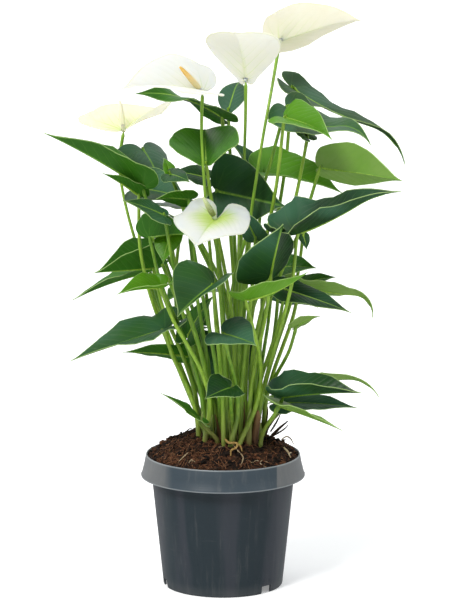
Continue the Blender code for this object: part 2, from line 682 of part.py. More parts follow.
def grow(greens, white, yellow):
    """Model every leafy shoot and bloom, and return the places of their stems in the soil."""
    stems, blades = [], []
    roots = spread_roots([root_place(np.mean([leaf.joint for leaf in shoot], axis=0)) for shoot in SHOOTS]
                         + [root_place(bloom.spathe.joint) for bloom in BLOOMS])
    for number, shoot in enumerate(SHOOTS):
        for leaf in shoot:
            joint = np.array(leaf.joint, float)
            height = joint[2] - POT_HEIGHT
            arrival = np.array((*(OUTWARD * (joint[:2] - CLUMP_CENTRE)), height))
            handle = LEAF_NECK * height
            stems.append((number, roots[number], joint, arrival / np.linalg.norm(arrival), handle, leaf.lean))
            blades.append(leaf)
    for number, bloom in enumerate(BLOOMS, start=len(SHOOTS)):
        joint = np.array(bloom.spathe.joint, float)
        arrival = np.array(bloom.arrival, float)
        stems.append((number, roots[number], joint, arrival / np.linalg.norm(arrival), BLOOM_NECK,
                      bloom.spathe.lean))
        blades.append(bloom.spathe)
    routes = clear_routes(stems, blades)
    radii = [STEM_BASE_RADIUS] + list(np.linspace(STEM_BASE_RADIUS, STEM_TOP_RADIUS, STEM_STATIONS))
    order = 0
    for number, shoot in enumerate(SHOOTS):
        name = f"leaf_{number + 1:02d}"
        green = greens[shoot[0].tone]
        pieces = []
        for leaf in shoot:
            pieces.append(tube(name + "_stem", stem_points(routes[order]), radii, green))
            pieces.append(blade_solid(name + "_blade", leaf, green))
            order += 1
        combined(name, pieces[0], pieces[1:], green)
    for number, bloom in enumerate(BLOOMS):
        name = f"flower_{number + 1}"
        joint, arrival = stems[order][2:4]
        rise = np.subtract(bloom.spadix_tip, joint)
        rise /= np.linalg.norm(rise)
        top = joint - arrival * (HUB_BELOW + GAP)
        route = np.vstack((stem_points(routes[order])[:-1], top - arrival * NECK, top))
        tube(name + "_stem", route, radii + [STEM_TOP_RADIUS], greens["plain"])
        hub = tube(name + "_hub", (joint - arrival * HUB_BELOW, joint, joint + rise * HUB_ABOVE),
                   (STEM_TOP_RADIUS + 0.6, HUB_RADIUS, SPADIX_RADII[0]), white)
        combined(name + "_spathe", hub, [blade_solid(name + "_blade", bloom.spathe, white)], white)
        at = np.linspace(0.0, 1.0, len(SPADIX_RADII))[:, None]
        base = joint + rise * (HUB_ABOVE + GAP)
        line = base + at * (bloom.spadix_tip - base)
        tube(name + "_spadix", line, SPADIX_RADII, yellow, sides_level=2)
        order += 1
    return roots


def main():
    """Clear the scene and model the plant in its pot."""
    for existing in list(bpy.data.objects):
        bpy.data.objects.remove(existing)
    greens = {
        "plain": finish("Leaf green", (0.030, 0.105, 0.022), 0.32),
        "dark": finish("Dark leaf green", (0.016, 0.058, 0.030), 0.28),
        "young": finish("Young leaf green", (0.085, 0.205, 0.022), 0.34),
        "pale": finish("Pale leaf green", (0.150, 0.240, 0.065), 0.45),
    }
    roots = grow(greens, finish("White spathe", (0.86, 0.84, 0.72), 0.42),
                 finish("Yellow spadix", (0.86, 0.62, 0.16), 0.55))
    soil(finish("Peat soil", (0.030, 0.014, 0.008), 0.95), roots)
    pot(finish("Grey pot plastic", (0.048, 0.062, 0.072), 0.42))
    collection = bpy.data.collections.new("Potted flamingo flower")
    bpy.context.scene.collection.children.link(collection)
    for part in list(bpy.context.scene.collection.objects):
        part.data.set_sharp_from_angle(angle=math.radians(35))
        collection.objects.link(part)
        bpy.context.scene.collection.objects.unlink(part)


main()
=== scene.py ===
"""Potted flamingo flower: the visible plant, soil and pot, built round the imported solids.

Metres, +Z up, the pot's foot at the origin and the front of the plant towards -Y. Sizes and places in
the tables are millimetres and degrees. Every leaf, bloom, clod and root is made here from a few
primitives and shaped by the same postures as the solids, so that each stays where its solid is.
"""

import logging
import math
import random
from dataclasses import dataclass
from enum import Enum
from typing import Callable, Iterator, Sequence

import bpy
import numpy as np
from mathutils import Matrix, Vector
from mathutils.bvhtree import BVHTree

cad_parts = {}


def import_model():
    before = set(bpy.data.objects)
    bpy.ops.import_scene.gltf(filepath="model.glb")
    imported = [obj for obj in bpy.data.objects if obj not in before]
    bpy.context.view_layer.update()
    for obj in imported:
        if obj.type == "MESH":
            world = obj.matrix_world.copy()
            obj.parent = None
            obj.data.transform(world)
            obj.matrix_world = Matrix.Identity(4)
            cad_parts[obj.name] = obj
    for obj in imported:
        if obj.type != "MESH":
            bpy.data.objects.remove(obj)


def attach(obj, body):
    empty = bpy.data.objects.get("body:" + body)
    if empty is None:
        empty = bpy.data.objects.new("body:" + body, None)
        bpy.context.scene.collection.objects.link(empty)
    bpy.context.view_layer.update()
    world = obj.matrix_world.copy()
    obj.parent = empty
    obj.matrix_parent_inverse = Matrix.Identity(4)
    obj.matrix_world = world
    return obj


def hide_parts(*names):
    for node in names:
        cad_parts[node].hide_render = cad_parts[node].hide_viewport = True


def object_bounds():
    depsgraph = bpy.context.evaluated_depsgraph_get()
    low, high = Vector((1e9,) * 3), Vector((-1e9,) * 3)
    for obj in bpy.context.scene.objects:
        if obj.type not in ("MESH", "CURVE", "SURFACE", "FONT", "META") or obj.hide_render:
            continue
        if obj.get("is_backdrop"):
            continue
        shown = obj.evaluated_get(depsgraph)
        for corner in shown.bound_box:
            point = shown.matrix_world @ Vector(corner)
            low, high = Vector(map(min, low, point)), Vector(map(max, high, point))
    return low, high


log = logging.getLogger("flamingo_flower")

MM = 0.001
MERGE = 0.000002
BODY = "root"
POLAR = "polar"
FLAT = "flat"
TONE = "tone"
# The level that darkens a spathe's white towards a deeper cream: partly its own cream, partly painted shade.
CREAM_AND_SHADE = "ivory"
# The flat map shows a blade of length one from behind its lobes to its tip
CHART_START = -0.4
CHART_SPAN = 1.6
TINY = 1e-6

Colour = tuple[float, float, float]
Stops = tuple[tuple[float, Colour], ...]
Place = tuple[float, float, float]
Shape = Callable[[np.ndarray, np.ndarray], np.ndarray]

# Half of a leaf's outline from the tip round to the stem, for a length and a width of one
LEAF_OUTLINE = (
    (1.00, 0.00), (0.90, 0.045), (0.76, 0.16), (0.56, 0.33), (0.32, 0.46),
    (0.06, 0.50), (-0.14, 0.43), (-0.25, 0.27), (-0.20, 0.10), (0.0, 0.0),
)
SPATHE_OUTLINE = (
    (1.00, 0.00), (0.93, 0.04), (0.84, 0.15), (0.68, 0.33), (0.44, 0.47),
    (0.15, 0.50), (-0.10, 0.43), (-0.20, 0.27), (-0.16, 0.10), (0.0, 0.0),
)


class Tone(Enum):
    """How fresh a leaf's green is, from 0, darkest, to 1, palest; the darkest levels are partly painted
    shade, for leaves deep in the clump.
    """

    DARK = 0.10
    PLAIN = 0.38
    YOUNG = 0.68
    PALE = 0.93


class Spike(Enum):
    """A spadix's colour."""

    PALE = "pale"
    YELLOW = "yellow"
    GREEN = "green"


class Face(Enum):
    """Which side of a blade a finish is for."""

    UPPER = 0
    UNDER = 1
    EDGE = 2


def smooth_through(points: Sequence, at: np.ndarray) -> np.ndarray:
    """Return positions on a smooth curve through points.

    Args:
        points: the points, in order.
        at: places on the curve, 0 at the first point and 1 at the last.

    Returns:
        One row for each place.
    """
    points = np.asarray(points, float)
    ends = np.vstack((2 * points[0] - points[1], points, 2 * points[-1] - points[-2]))
    place = np.clip(np.asarray(at, float), 0.0, 1.0) * (len(points) - 1)
    span = np.minimum(place.astype(int), len(points) - 2)
    t = (place - span)[:, None]
    a, b, c, d = ends[span], ends[span + 1], ends[span + 2], ends[span + 3]
    return b + 0.5 * t * (c - a + t * (2 * a - 5 * b + 4 * c - d + t * (3 * (b - c) + d - a)))


def run_of_arc(distance: np.ndarray, start: float, turn: float) -> tuple[np.ndarray, np.ndarray]:
    """Return the run and the rise of an arc.

    Args:
        distance: lengths along the arc.
        start: its first angle.
        turn: how much it turns in a length of one.

    Returns:
        The run and the rise at each distance.
    """
    if abs(turn) < TINY:
        return distance * math.cos(start), distance * math.sin(start)
    end = start + turn * distance
    return (np.sin(end) - math.sin(start)) / turn, (math.cos(start) - np.cos(end)) / turn


def unit(vector: Sequence) -> np.ndarray:
    """Return a vector of length one in the same direction."""
    vector = np.asarray(vector, float)
    return vector / np.linalg.norm(vector)


def across_chord(chord: np.ndarray, direction: Sequence) -> np.ndarray:
    """Return the unit part of a direction that is square to a chord."""
    return unit(np.asarray(direction, float) - chord * chord.dot(direction))


def travelled(points: np.ndarray) -> np.ndarray:
    """Return how far along a run of points each one lies."""
    return np.concatenate(([0.0], np.cumsum(np.linalg.norm(np.diff(points, axis=0), axis=1))))


def on_circle(radius: float | np.ndarray, angle: float | np.ndarray) -> tuple:
    """Return the x and y of a point on a circle round the middle."""
    return radius * np.cos(angle), radius * np.sin(angle)


def on_rod(centre: np.ndarray, radius: np.ndarray, turn: np.ndarray, along: np.ndarray,
           sides: tuple[np.ndarray, np.ndarray]) -> np.ndarray:
    """Return points on a rod's skin, drawn in to its middle at both ends.

    Args:
        centre: the rod's middle at each point.
        radius: its radius there.
        turn: the place round it, from 0 to 1.
        along: the place along it, from 0 to 1.
        sides: two directions square to the rod and to each other.

    Returns:
        The points.
    """
    radius = np.where((along < TINY) | (along > 1.0 - TINY), 0.0, radius)
    angle = math.tau * turn
    return centre + radius[:, None] * (np.cos(angle)[:, None] * sides[0] + np.sin(angle)[:, None] * sides[1])


@dataclass(frozen=True)
class Blade:
    """A leaf or a spathe: where its stem meets it, where its tip is, and how it is bent.

    Lengths are millimetres. tone picks the green. roll turns the upper face to the blade's
    right-hand side, seen from the stem to the tip. fold lifts the halves from the midrib, and curl
    lets their edges down again. arch bends the midrib down from end to end, and hook bends its last
    part more. lobe lifts the lobes behind the stem, and lobes is their size. taper narrows the stem's
    end. twist turns the far end, and lean leads the stem sideways.
    """

    joint: tuple
    tip: tuple
    tone: Tone = Tone.PLAIN
    roll: float = 0.0
    width: float = 0.66
    fold: float = 18.0
    curl: float = 30.0
    arch: float = 25.0
    hook: float = 0.0
    lobe: float = 20.0
    lobes: float = 1.0
    taper: float = 0.0
    twist: float = 0.0
    wave: float = 0.03
    lean: tuple = (0.0, 0.0)
    spathe: bool = False

    @property
    def length(self) -> float:
        """Return the distance from the joint to the tip."""
        return float(np.linalg.norm(np.subtract(self.tip, self.joint)))

    def outline(self, steps: int) -> np.ndarray:
        """Return the flat outline from the left of the stem round the tip to the right.

        Args:
            steps: how many steps half of the edge has.

        Returns:
            Rows of a place along the midrib and one to its left, for a length of one.
        """
        kind = SPATHE_OUTLINE if self.spathe else LEAF_OUTLINE
        half = smooth_through(kind, np.linspace(0.0, 1.0, steps + 1))
        half[:, 0] = np.where(half[:, 0] < 0.0, self.lobes * half[:, 0], half[:, 0])
        half[:, 1] *= self.width * (1.0 - self.taper * (1.0 - np.clip(half[:, 0], 0.0, 1.0)) ** 2)
        return np.vstack((half[-2::-1], half[1:-1] * (1.0, -1.0)))

    def bent(self, flat: np.ndarray, ripple: float = 0.0) -> np.ndarray:
        """Bend flat points of a blade of length one.

        Args:
            flat: rows of a place along the midrib and one to its left.
            ripple: the height of the small waves at the edge.

        Returns:
            Rows of places along the midrib, to its left and up.
        """
        along, across = flat[:, 0], flat[:, 1]
        half = 0.5 * self.width
        arch, hook = -math.radians(self.arch), -math.radians(self.hook)
        lobe = math.radians(self.lobe) / 0.25
        knee = 0.6
        near = np.clip(along, 0.0, knee)
        far = np.clip(along - knee, 0.0, None)
        behind = np.clip(along, None, 0.0)
        run, rise = run_of_arc(near, 0.0, arch)
        far_run, far_rise = run_of_arc(far, arch * knee, arch + hook / (1.0 - knee))
        back_run, back_rise = run_of_arc(behind, 0.0, lobe)
        run, rise = run + far_run + back_run, rise + far_rise + back_rise
        slope = arch * np.clip(along, 0.0, None) + hook * far / (1.0 - knee) + lobe * behind
        distance = np.abs(across)
        out, up = run_of_arc(distance, math.radians(self.fold), -math.radians(self.curl) / half)
        side = np.sign(across)
        up = up + self.wave * (distance / half) ** 2 * np.sin(9.0 * along + 1.7 * side)
        up = up + ripple * (distance / half) ** 2 * np.sin(26.0 * along + 4.1 * side + self.joint[0])
        far_end = np.clip((along - 0.4) / 0.4, 0.0, 1.0)
        turn = math.radians(self.twist) * far_end**2 * (3.0 - 2.0 * far_end)
        out, up = side * out * np.cos(turn) - up * np.sin(turn), side * out * np.sin(turn) + up * np.cos(turn)
        return np.column_stack((run - np.sin(slope) * up, out, rise + np.cos(slope) * up))

    def placed(self, flat: np.ndarray, ripple: float = 0.0) -> np.ndarray:
        """Bend flat points and set them between the joint and the tip.

        Args:
            flat: rows of a place along the midrib and one to its left.
            ripple: the height of the small waves at the edge.

        Returns:
            Rows of places in millimetres.
        """
        local_tip = self.bent(np.array(((1.0, 0.0),)))[0]
        joint, tip = np.array(self.joint, float), np.array(self.tip, float)
        size = np.linalg.norm(tip - joint) / np.linalg.norm(local_tip)
        ahead, chord = unit(local_tip), unit(tip - joint)
        top, level = across_chord(ahead, (0.0, 0.0, 1.0)), across_chord(chord, (0.0, 0.0, 1.0))
        local_frame = np.array((ahead, np.cross(ahead, top), top))
        roll = math.radians(self.roll)
        face = math.cos(roll) * level + math.sin(roll) * np.cross(chord, level)
        frame = np.array((chord, np.cross(chord, face), face))
        return joint + size * self.bent(flat, ripple) @ local_frame.T @ frame

    def coarse(self, large: float) -> tuple[np.ndarray, int, int]:
        """Return the points of the blade's solid: the joint, then each ring from the middle outwards.

        Args:
            large: the length from which a leaf has more steps.

        Returns:
            The points, how many each ring has, and the number of rings.
        """
        if self.spathe:
            steps, rings = 6, 3
        else:
            steps, rings = (6, 2) if self.length > large else (5, 2)
        edge = self.outline(steps)
        rays = [np.zeros((1, 2))] + [edge * (ring / rings) for ring in range(1, rings + 1)]
        return self.placed(np.vstack(rays)), len(edge), rings


@dataclass(frozen=True)
class Bloom:
    """A spathe with its spadix, and the way that its stem comes to it.

    green is how much of the spathe's middle is green; its other level darkens the white towards a deeper
    cream, partly its own cream and partly painted shade.
    """

    spathe: Blade
    spadix_tip: Place
    arrival: Place
    green: float
    ivory: float
    spike: Spike = Spike.PALE


# Leafy shoots. Each holds one leaf, or two leaves whose stems part at the soil.
SHOOTS = (
    (Blade((-92, -22, 470), (-202, -42, 535), roll=4, width=0.56, fold=52, curl=22, arch=8,
           lobes=0.4, taper=0.2, lean=(0, 18)),
     Blade((-96, -20, 460), (-136, -60, 492), roll=15, width=0.42, fold=40, curl=10, arch=10,
           lobes=0.7)),
    (Blade((-95, 38, 459), (-39, 2, 451), tone=Tone.DARK, roll=35, width=0.9, fold=30, lobes=0.6),),
    (Blade((-94, 92, 498), (-74, 74, 458), tone=Tone.DARK, roll=-5, width=1.9, fold=8, curl=35,
           arch=30, lobe=10, lobes=0.85),),
    (Blade((-60, -14, 484), (-68, 6, 500), tone=Tone.YOUNG, width=0.6, fold=30, lean=(5, 25)),
     Blade((-60, -22, 485), (-37, -44, 479), tone=Tone.DARK, roll=30, width=0.8, fold=15, curl=40,
           lean=(5, 25))),
    (Blade((-20, 75, 467), (-60, 68, 475), tone=Tone.DARK, roll=-40, width=0.75, fold=20),),
    (Blade((-1, 35, 543), (-101, -15, 576), roll=10, width=0.4, fold=10, curl=20, arch=40,
           lobes=0.5, twist=-85, lean=(0, 60)),
     Blade((6, 45, 548), (20, 80, 579), tone=Tone.DARK, width=1.15, fold=15, arch=10, hook=40,
           lobe=40, lobes=0.2, taper=0.8, lean=(0, 60))),
    (Blade((-19, -45, 500), (-21, 30, 530), roll=-5, width=1.2, fold=45, curl=20, arch=15,
           lobe=30, lobes=1.1),),
    (Blade((-8, -2, 463), (72, -14, 447), tone=Tone.DARK, roll=74, width=1.1, fold=15, arch=12,
           lobes=0.5),),
    (Blade((35, 90, 473), (7, 82, 510), tone=Tone.DARK, roll=-35, width=0.8, fold=25, curl=20,
           arch=15),),
    (Blade((46, 45, 477), (138, 20, 457), tone=Tone.YOUNG, roll=16, width=0.86, fold=32, curl=20,
           arch=20),),
    (Blade((72, 5, 559), (167, -40, 521), tone=Tone.DARK, roll=16, width=0.62, fold=14, arch=-100,
           hook=120, lobe=10, lobes=0.35),
     Blade((80, 78, 572), (212, 60, 484), tone=Tone.DARK, roll=10, width=0.34, fold=20, curl=20,
           arch=-30, hook=75, lobes=0.5, twist=-30, lean=(10, 60))),
    (Blade((69, -50, 553), (122, -98, 534), tone=Tone.YOUNG, roll=25, width=0.72, fold=42, curl=40,
           arch=20, hook=20, lobe=80, lobes=0.3, lean=(-4, 25)),),
    (Blade((96, -15, 526), (75, -5, 546), width=1.3, fold=15, curl=20, arch=10),),
    (Blade((110, -30, 493), (202, -60, 483), tone=Tone.PALE, roll=-62, width=0.9, fold=35, curl=20,
           arch=10, lobe=30, lobes=0.3, taper=0.4, lean=(0, 38)),),
    (Blade((84, -60, 422), (199, -95, 476), tone=Tone.DARK, roll=12, width=0.55, fold=44, curl=20,
           arch=-20, hook=35, lobe=40, lobes=1.35, taper=-0.35, lean=(14, 0)),),
    (Blade((93, 42, 404), (97, 32, 389), tone=Tone.DARK, width=0.8),
     Blade((64, 15, 371), (108, 0, 373), roll=35, width=0.85, fold=25, arch=20)),
    (Blade((37, -46, 415), (19, -58, 451), tone=Tone.DARK, roll=20, width=0.85, fold=20, arch=15,
           lobes=0.6),),
    (Blade((-66, -66, 444), (-112, -96, 466), tone=Tone.DARK, roll=-40, width=0.56, fold=15,
           arch=15, lobes=0.5),),
    (Blade((-83, -42, 415), (-35, -58, 421), roll=-30, width=1.2, fold=60, curl=20, arch=20,
           lobe=30, lobes=2.0, lean=(0, -20)),),
    (Blade((-60, -35, 416), (-68, -52, 387), tone=Tone.YOUNG, width=1.0, fold=20),
     Blade((-38, -16, 412), (-66, -36, 444), tone=Tone.DARK, roll=-10, width=0.8, fold=20, arch=20)),
    (Blade((-39, -35, 458), (-76, -50, 461), roll=45, width=0.75, fold=20, arch=20),),
    (Blade((-81, 22, 369), (-148, -8, 369), width=1.0, fold=60, curl=10, arch=0, lobes=1.2,
           taper=-0.2),
     Blade((-85, 50, 360), (-175, 24, 331), roll=8, width=0.45, fold=35, curl=20, arch=15)),
    (Blade((-71, -70, 362), (-119, -105, 361), tone=Tone.YOUNG, roll=-15, width=0.7, fold=45,
           curl=20, arch=20, lobe=60, lobes=1.5, lean=(0, -20)),),
    (Blade((-11, -86, 369), (-51, -124, 339), tone=Tone.DARK, roll=-8, width=1.45, fold=38, curl=10,
           arch=15, lobe=30),),
    (Blade((54, -73, 377), (67, -110, 442), tone=Tone.DARK, roll=20, width=1.16, fold=30, curl=20,
           arch=5, lobes=0.9),),
    (Blade((26, -84, 350), (95, -106, 387), tone=Tone.YOUNG, roll=-25, width=0.55, fold=45, curl=50,
           arch=-30, lobe=30),),
    (Blade((89, 22, 349), (131, 15, 360), roll=35, width=0.6, fold=20),
     Blade((89, 8, 351), (172, -8, 316), tone=Tone.PALE, roll=-35, width=0.36, fold=30, arch=-25,
           hook=110)),
    (Blade((71, -25, 352), (146, -50, 330), tone=Tone.DARK, roll=32, width=0.44, fold=20, arch=10),),
    (Blade((57, 64, 333), (111, 54, 317), tone=Tone.DARK, roll=-45, width=0.75, fold=20, arch=15,
           lobes=0.6),
     Blade((84, -30, 310), (111, -40, 324), tone=Tone.PALE, roll=-30, width=0.7, fold=30)),
    (Blade((-67, -28, 306), (-174, -60, 276), tone=Tone.DARK, roll=-12, width=0.52, fold=35, arch=5,
           lobe=30, taper=-0.25),),
    (Blade((-38, 25, 264), (-116, 2, 274), roll=45, width=0.45, fold=30, arch=10, lobes=0.6),),
    (Blade((-40, -2, 294), (-10, 8, 340), roll=20, width=0.7, fold=20),
     Blade((-27, 45, 298), (-69, 38, 309), roll=30, width=0.75, fold=20)),
    (Blade((-28, -45, 204), (-71, -65, 240), roll=-25, width=0.36, fold=30, arch=10),),
    (Blade((1, -80, 311), (38, -112, 304), tone=Tone.DARK, roll=22, width=1.25, fold=25, arch=15,
           lobe=35),),
    (Blade((8, -62, 245), (-21, -90, 238), tone=Tone.DARK, roll=-25, width=1.2, fold=30, arch=15,
           lobe=90, lobes=1.2),),
    (Blade((69, -42, 230), (158, -70, 241), tone=Tone.DARK, roll=8, width=0.75, fold=50, curl=25,
           arch=10, lobe=50, lobes=1.2),
     Blade((63, -50, 222), (136, -78, 199), tone=Tone.PALE, roll=-15, width=0.42, fold=30, arch=5)),
    (Blade((78, 22, 219), (181, 0, 221), tone=Tone.PALE, roll=-25, width=0.35, fold=25, arch=50,
           hook=40),
     Blade((69, -14, 217), (154, -44, 218), tone=Tone.DARK, roll=25, width=0.45, fold=20, arch=12,
           lobes=0.6)),
    (Blade((-45, 92, 430), (-95, 150, 415), tone=Tone.DARK, width=0.72, arch=40),),
    (Blade((20, 112, 465), (35, 175, 440), roll=-10, width=0.72, arch=40),),
    (Blade((75, 85, 425), (120, 145, 400), tone=Tone.DARK, width=0.72, arch=40),),
    (Blade((-20, 85, 330), (-70, 150, 305), roll=10, width=0.72, arch=40),),
    (Blade((45, 85, 345), (60, 162, 315), tone=Tone.DARK, width=0.72, arch=40),),
    (Blade((0, 60, 268), (2, 100, 185), tone=Tone.DARK, width=1.0, arch=20),),
)

BLOOMS = (
    Bloom(Blade((65, 40, 630), (160, 60, 653), roll=-66, width=0.72, fold=42, curl=15, arch=10,
                hook=25, lobe=45, lean=(34, -40), spathe=True),
          spadix_tip=(85, 85, 660), arrival=(0.0, 0.7, 0.7), green=0.14, ivory=0.85),
    Bloom(Blade((26, 0, 590), (13, -55, 650), width=1.5, fold=24, curl=25, arch=45, lobe=30,
                lobes=0.4, taper=0.8, lean=(0, 50), spathe=True),
          spadix_tip=(22, 34, 630), arrival=(0.0, 0.6, 0.8), green=0.20, ivory=0.15),
    Bloom(Blade((-23, -45, 582), (-114, -79, 589), roll=-30, width=0.8, fold=38, curl=20,
                arch=30, lobe=25, lean=(-16, -10), spathe=True),
          spadix_tip=(-48, -70, 613), arrival=(0.0, 0.3, 0.95), green=0.12, ivory=0.0, spike=Spike.YELLOW),
    Bloom(Blade((-117, 112, 518), (-76, 185, 536), roll=-9, width=1.5, fold=25, curl=15, arch=15,
                spathe=True),
          spadix_tip=(-122, 125, 552), arrival=(0.0, 0.3, 0.95), green=0.50, ivory=1.0),
    Bloom(Blade((-8, -76, 441), (-31, -128, 418), roll=-8, width=1.42, fold=27, curl=50, arch=30,
                lobe=58, lobes=2.5, spathe=True),
          spadix_tip=(-22, -92, 469), arrival=(0.0, -0.2, 0.95), green=0.85, ivory=0.0, spike=Spike.GREEN),
)


class Number:
    """A value that varies over a surface, with Python's operators for the Math nodes."""

    def __init__(self, surface: "Nodes", socket: bpy.types.NodeSocket) -> None:
        """Wrap a node's output socket."""
        self.surface = surface
        self.socket = socket

    def maths(self, operation: str, *operands: "Number | float") -> "Number":
        """Return a Math node's result.

        Args:
            operation: the node's operation.
            operands: its inputs, in order.

        Returns:
            The result as a number that varies.
        """
        return self.surface.node("ShaderNodeMath", {"operation": operation}, dict(enumerate(operands)))

    def __add__(self, other: "Number | float") -> "Number":
        """Return the sum."""
        return self.maths("ADD", self, other)

    def __mul__(self, other: "Number | float") -> "Number":
        """Return the product."""
        return self.maths("MULTIPLY", self, other)

    def __sub__(self, other: "Number | float") -> "Number":
        """Return the difference."""
        return self.maths("SUBTRACT", self, other)

    def __rsub__(self, other: float) -> "Number":
        """Return what is left of a number without this one."""
        return self.maths("SUBTRACT", other, self)

    def __abs__(self) -> "Number":
        """Return the size without its sign."""
        return self.maths("ABSOLUTE", self)

    __radd__ = __add__
    __rmul__ = __mul__

    def fraction(self) -> "Number":
        """Return what is over the whole number below."""
        return self.maths("FRACT", self)

    def above(self, low: float, high: float) -> "Number":
        """Return a smooth step from 0 at low to 1 at high."""
        return self.surface.node("ShaderNodeMapRange", {"interpolation_type": "SMOOTHSTEP"},
                                 {"Value": self, "From Min": low, "From Max": high})

    def below(self, low: float, high: float) -> "Number":
        """Return a smooth step from 1 at low to 0 at high."""
        return 1.0 - self.above(low, high)


class Nodes:
    """A node tree in the making."""

    def __init__(self, tree: bpy.types.NodeTree) -> None:
        """Start with a tree."""
        self.tree = tree

    def node(self, kind: str, settings: dict | None = None, inputs: dict | None = None,
             output: int | str = 0) -> Number:
        """Add a node.

        Args:
            kind: the node's type.
            settings: its own settings, or a ramp's stops, which are set first.
            inputs: values or links for its sockets, by name or number.
            output: which of its outputs to return.

        Returns:
            The output.
        """
        made = self.tree.nodes.new(kind)
        for name, value in (settings or {}).items():
            if name == "stops":
                while len(made.color_ramp.elements) < len(value):
                    made.color_ramp.elements.new(1.0)
                for element, (place, colour) in zip(made.color_ramp.elements, value):
                    element.position = place
                    element.color = (*colour, 1.0)
            else:
                setattr(made, name, value)
        for name, value in (inputs or {}).items():
            socket = made.inputs[name]
            if isinstance(value, Number):
                self.tree.links.new(value.socket, socket)
            else:
                socket.default_value = (*value, 1.0) if socket.type == "RGBA" else value
        return Number(self, made.outputs[output])

    def mix(self, share: Number, first: Number | Colour, second: Number | Colour) -> Number:
        """Return two colours mixed, the second by its share."""
        return self.node("ShaderNodeMix", {"data_type": "RGBA"}, {0: share, 6: first, 7: second}, 2)

    def ramp(self, value: Number, stops: Stops) -> Number:
        """Return the colour of a ramp at a value."""
        return self.node("ShaderNodeValToRGB", {"stops": stops}, {0: value})

    def part(self, vector: Number, axis: int) -> Number:
        """Return a vector's x, y or z."""
        return self.node("ShaderNodeSeparateXYZ", inputs={0: vector}, output=axis)


class Surface(Nodes):
    """A material in the making: its nodes and its shader."""

    def __init__(self, name: str, **constants: float | tuple) -> None:
        """Start a material.

        Args:
            name: the material's name.
            constants: what is the same all over, as the shader's own sockets with low lines for spaces.
        """
        self.material = bpy.data.materials.new(name)
        self.material.use_nodes = True
        super().__init__(self.material.node_tree)
        self.shader = self.tree.nodes["Principled BSDF"]
        for socket, value in constants.items():
            self.shader.inputs[socket.replace("_", " ")].default_value = value

    def place(self) -> Number:
        """Return the place on the piece."""
        return self.node("ShaderNodeTexCoord", output="Object")

    def stored(self, name: str) -> Number:
        """Return a level that is stored on the piece's points."""
        return self.node("ShaderNodeAttribute", {"attribute_name": name}, output="Fac")

    def chart(self, name: str) -> tuple[Number, Number]:
        """Return the two numbers of a UV map."""
        chart = self.node("ShaderNodeUVMap", {"uv_map": name})
        return self.part(chart, 0), self.part(chart, 1)

    def noise(self, vector: Number, scale: float, detail: float = 4.0, roughness: float = 0.55) -> Number:
        """Return a noise from 0 to 1."""
        return self.node("ShaderNodeTexNoise", inputs={"Vector": vector, "Scale": scale, "Detail": detail,
                                                       "Roughness": roughness})

    def streaks(self, vector: Number, scale: Place, detail: float, roughness: float = 0.55) -> Number:
        """Return a noise from 0 to 1 that is scaled along each axis."""
        scaled = self.node("ShaderNodeMapping", inputs={"Vector": vector, "Scale": scale})
        return self.noise(scaled, 1.0, detail, roughness)

    def done(self, colour: Number, roughness: Number | float, relief: Number | None = None,
             depth: float = 0.0003) -> bpy.types.Material:
        """Link what varies to the shader.

        Args:
            colour: the base colour.
            roughness: the roughness.
            relief: the height of the surface's relief.
            depth: the real height of a relief of one.

        Returns:
            The finished material.
        """
        links = {"Base Color": colour, "Roughness": roughness}
        if relief is not None:
            links["Normal"] = self.node("ShaderNodeBump", inputs={"Strength": 1.0, "Distance": depth,
                                                                  "Height": relief})
        for name, value in links.items():
            if isinstance(value, Number):
                self.tree.links.new(value.socket, self.shader.inputs[name])
            else:
                self.shader.inputs[name].default_value = value
        return self.material


@dataclass(frozen=True)
class Veins:
    """The veins of a heart-shaped blade, drawn on its flat shape."""

    pairs: float = 8.0
    basal: float = 15.0
    sweep: float = 0.36
    bow: float = 0.12

    def drawn(self, surface: Surface) -> dict[str, Number]:
        """Return the masks of a blade's veins and edge.

        Args:
            surface: the material that they are for.

        Returns:
            The midrib, the side veins, the swelling between them, the line at the edge, and the place
            out from the stem.
        """
        along, across = surface.chart(FLAT)
        turn, out = surface.chart(POLAR)
        along = along * CHART_SPAN + CHART_START
        across = abs(across * 2.0 - 1.0)
        wander = surface.noise(surface.place(), 60.0, 2.0) * 0.03
        reach = along - across * self.sweep - across * across * self.bow + wander
        comb = abs((reach * self.pairs).fraction() - 0.5)
        ahead = along.above(0.0, 0.12)
        side = comb.below(0.0, 0.075) * ahead
        rays = abs(((turn + wander * 0.2) * self.basal).fraction() - 0.5) * out
        lobe = rays.below(0.0, 0.05) * (1.0 - ahead)
        collecting = abs(out - 0.93).below(0.0, 0.012)
        return {
            "midrib": across.below(0.012, 0.055) * along.above(-0.02, 0.01) * along.below(0.86, 0.98),
            "side": (side + lobe) * out.above(0.02, 0.10) * out.below(0.90, 0.96) + collecting * 0.5,
            "swell": comb.above(0.05, 0.5) * ahead,
            "edge": out.above(0.972, 0.992),
            "out": out,
        }


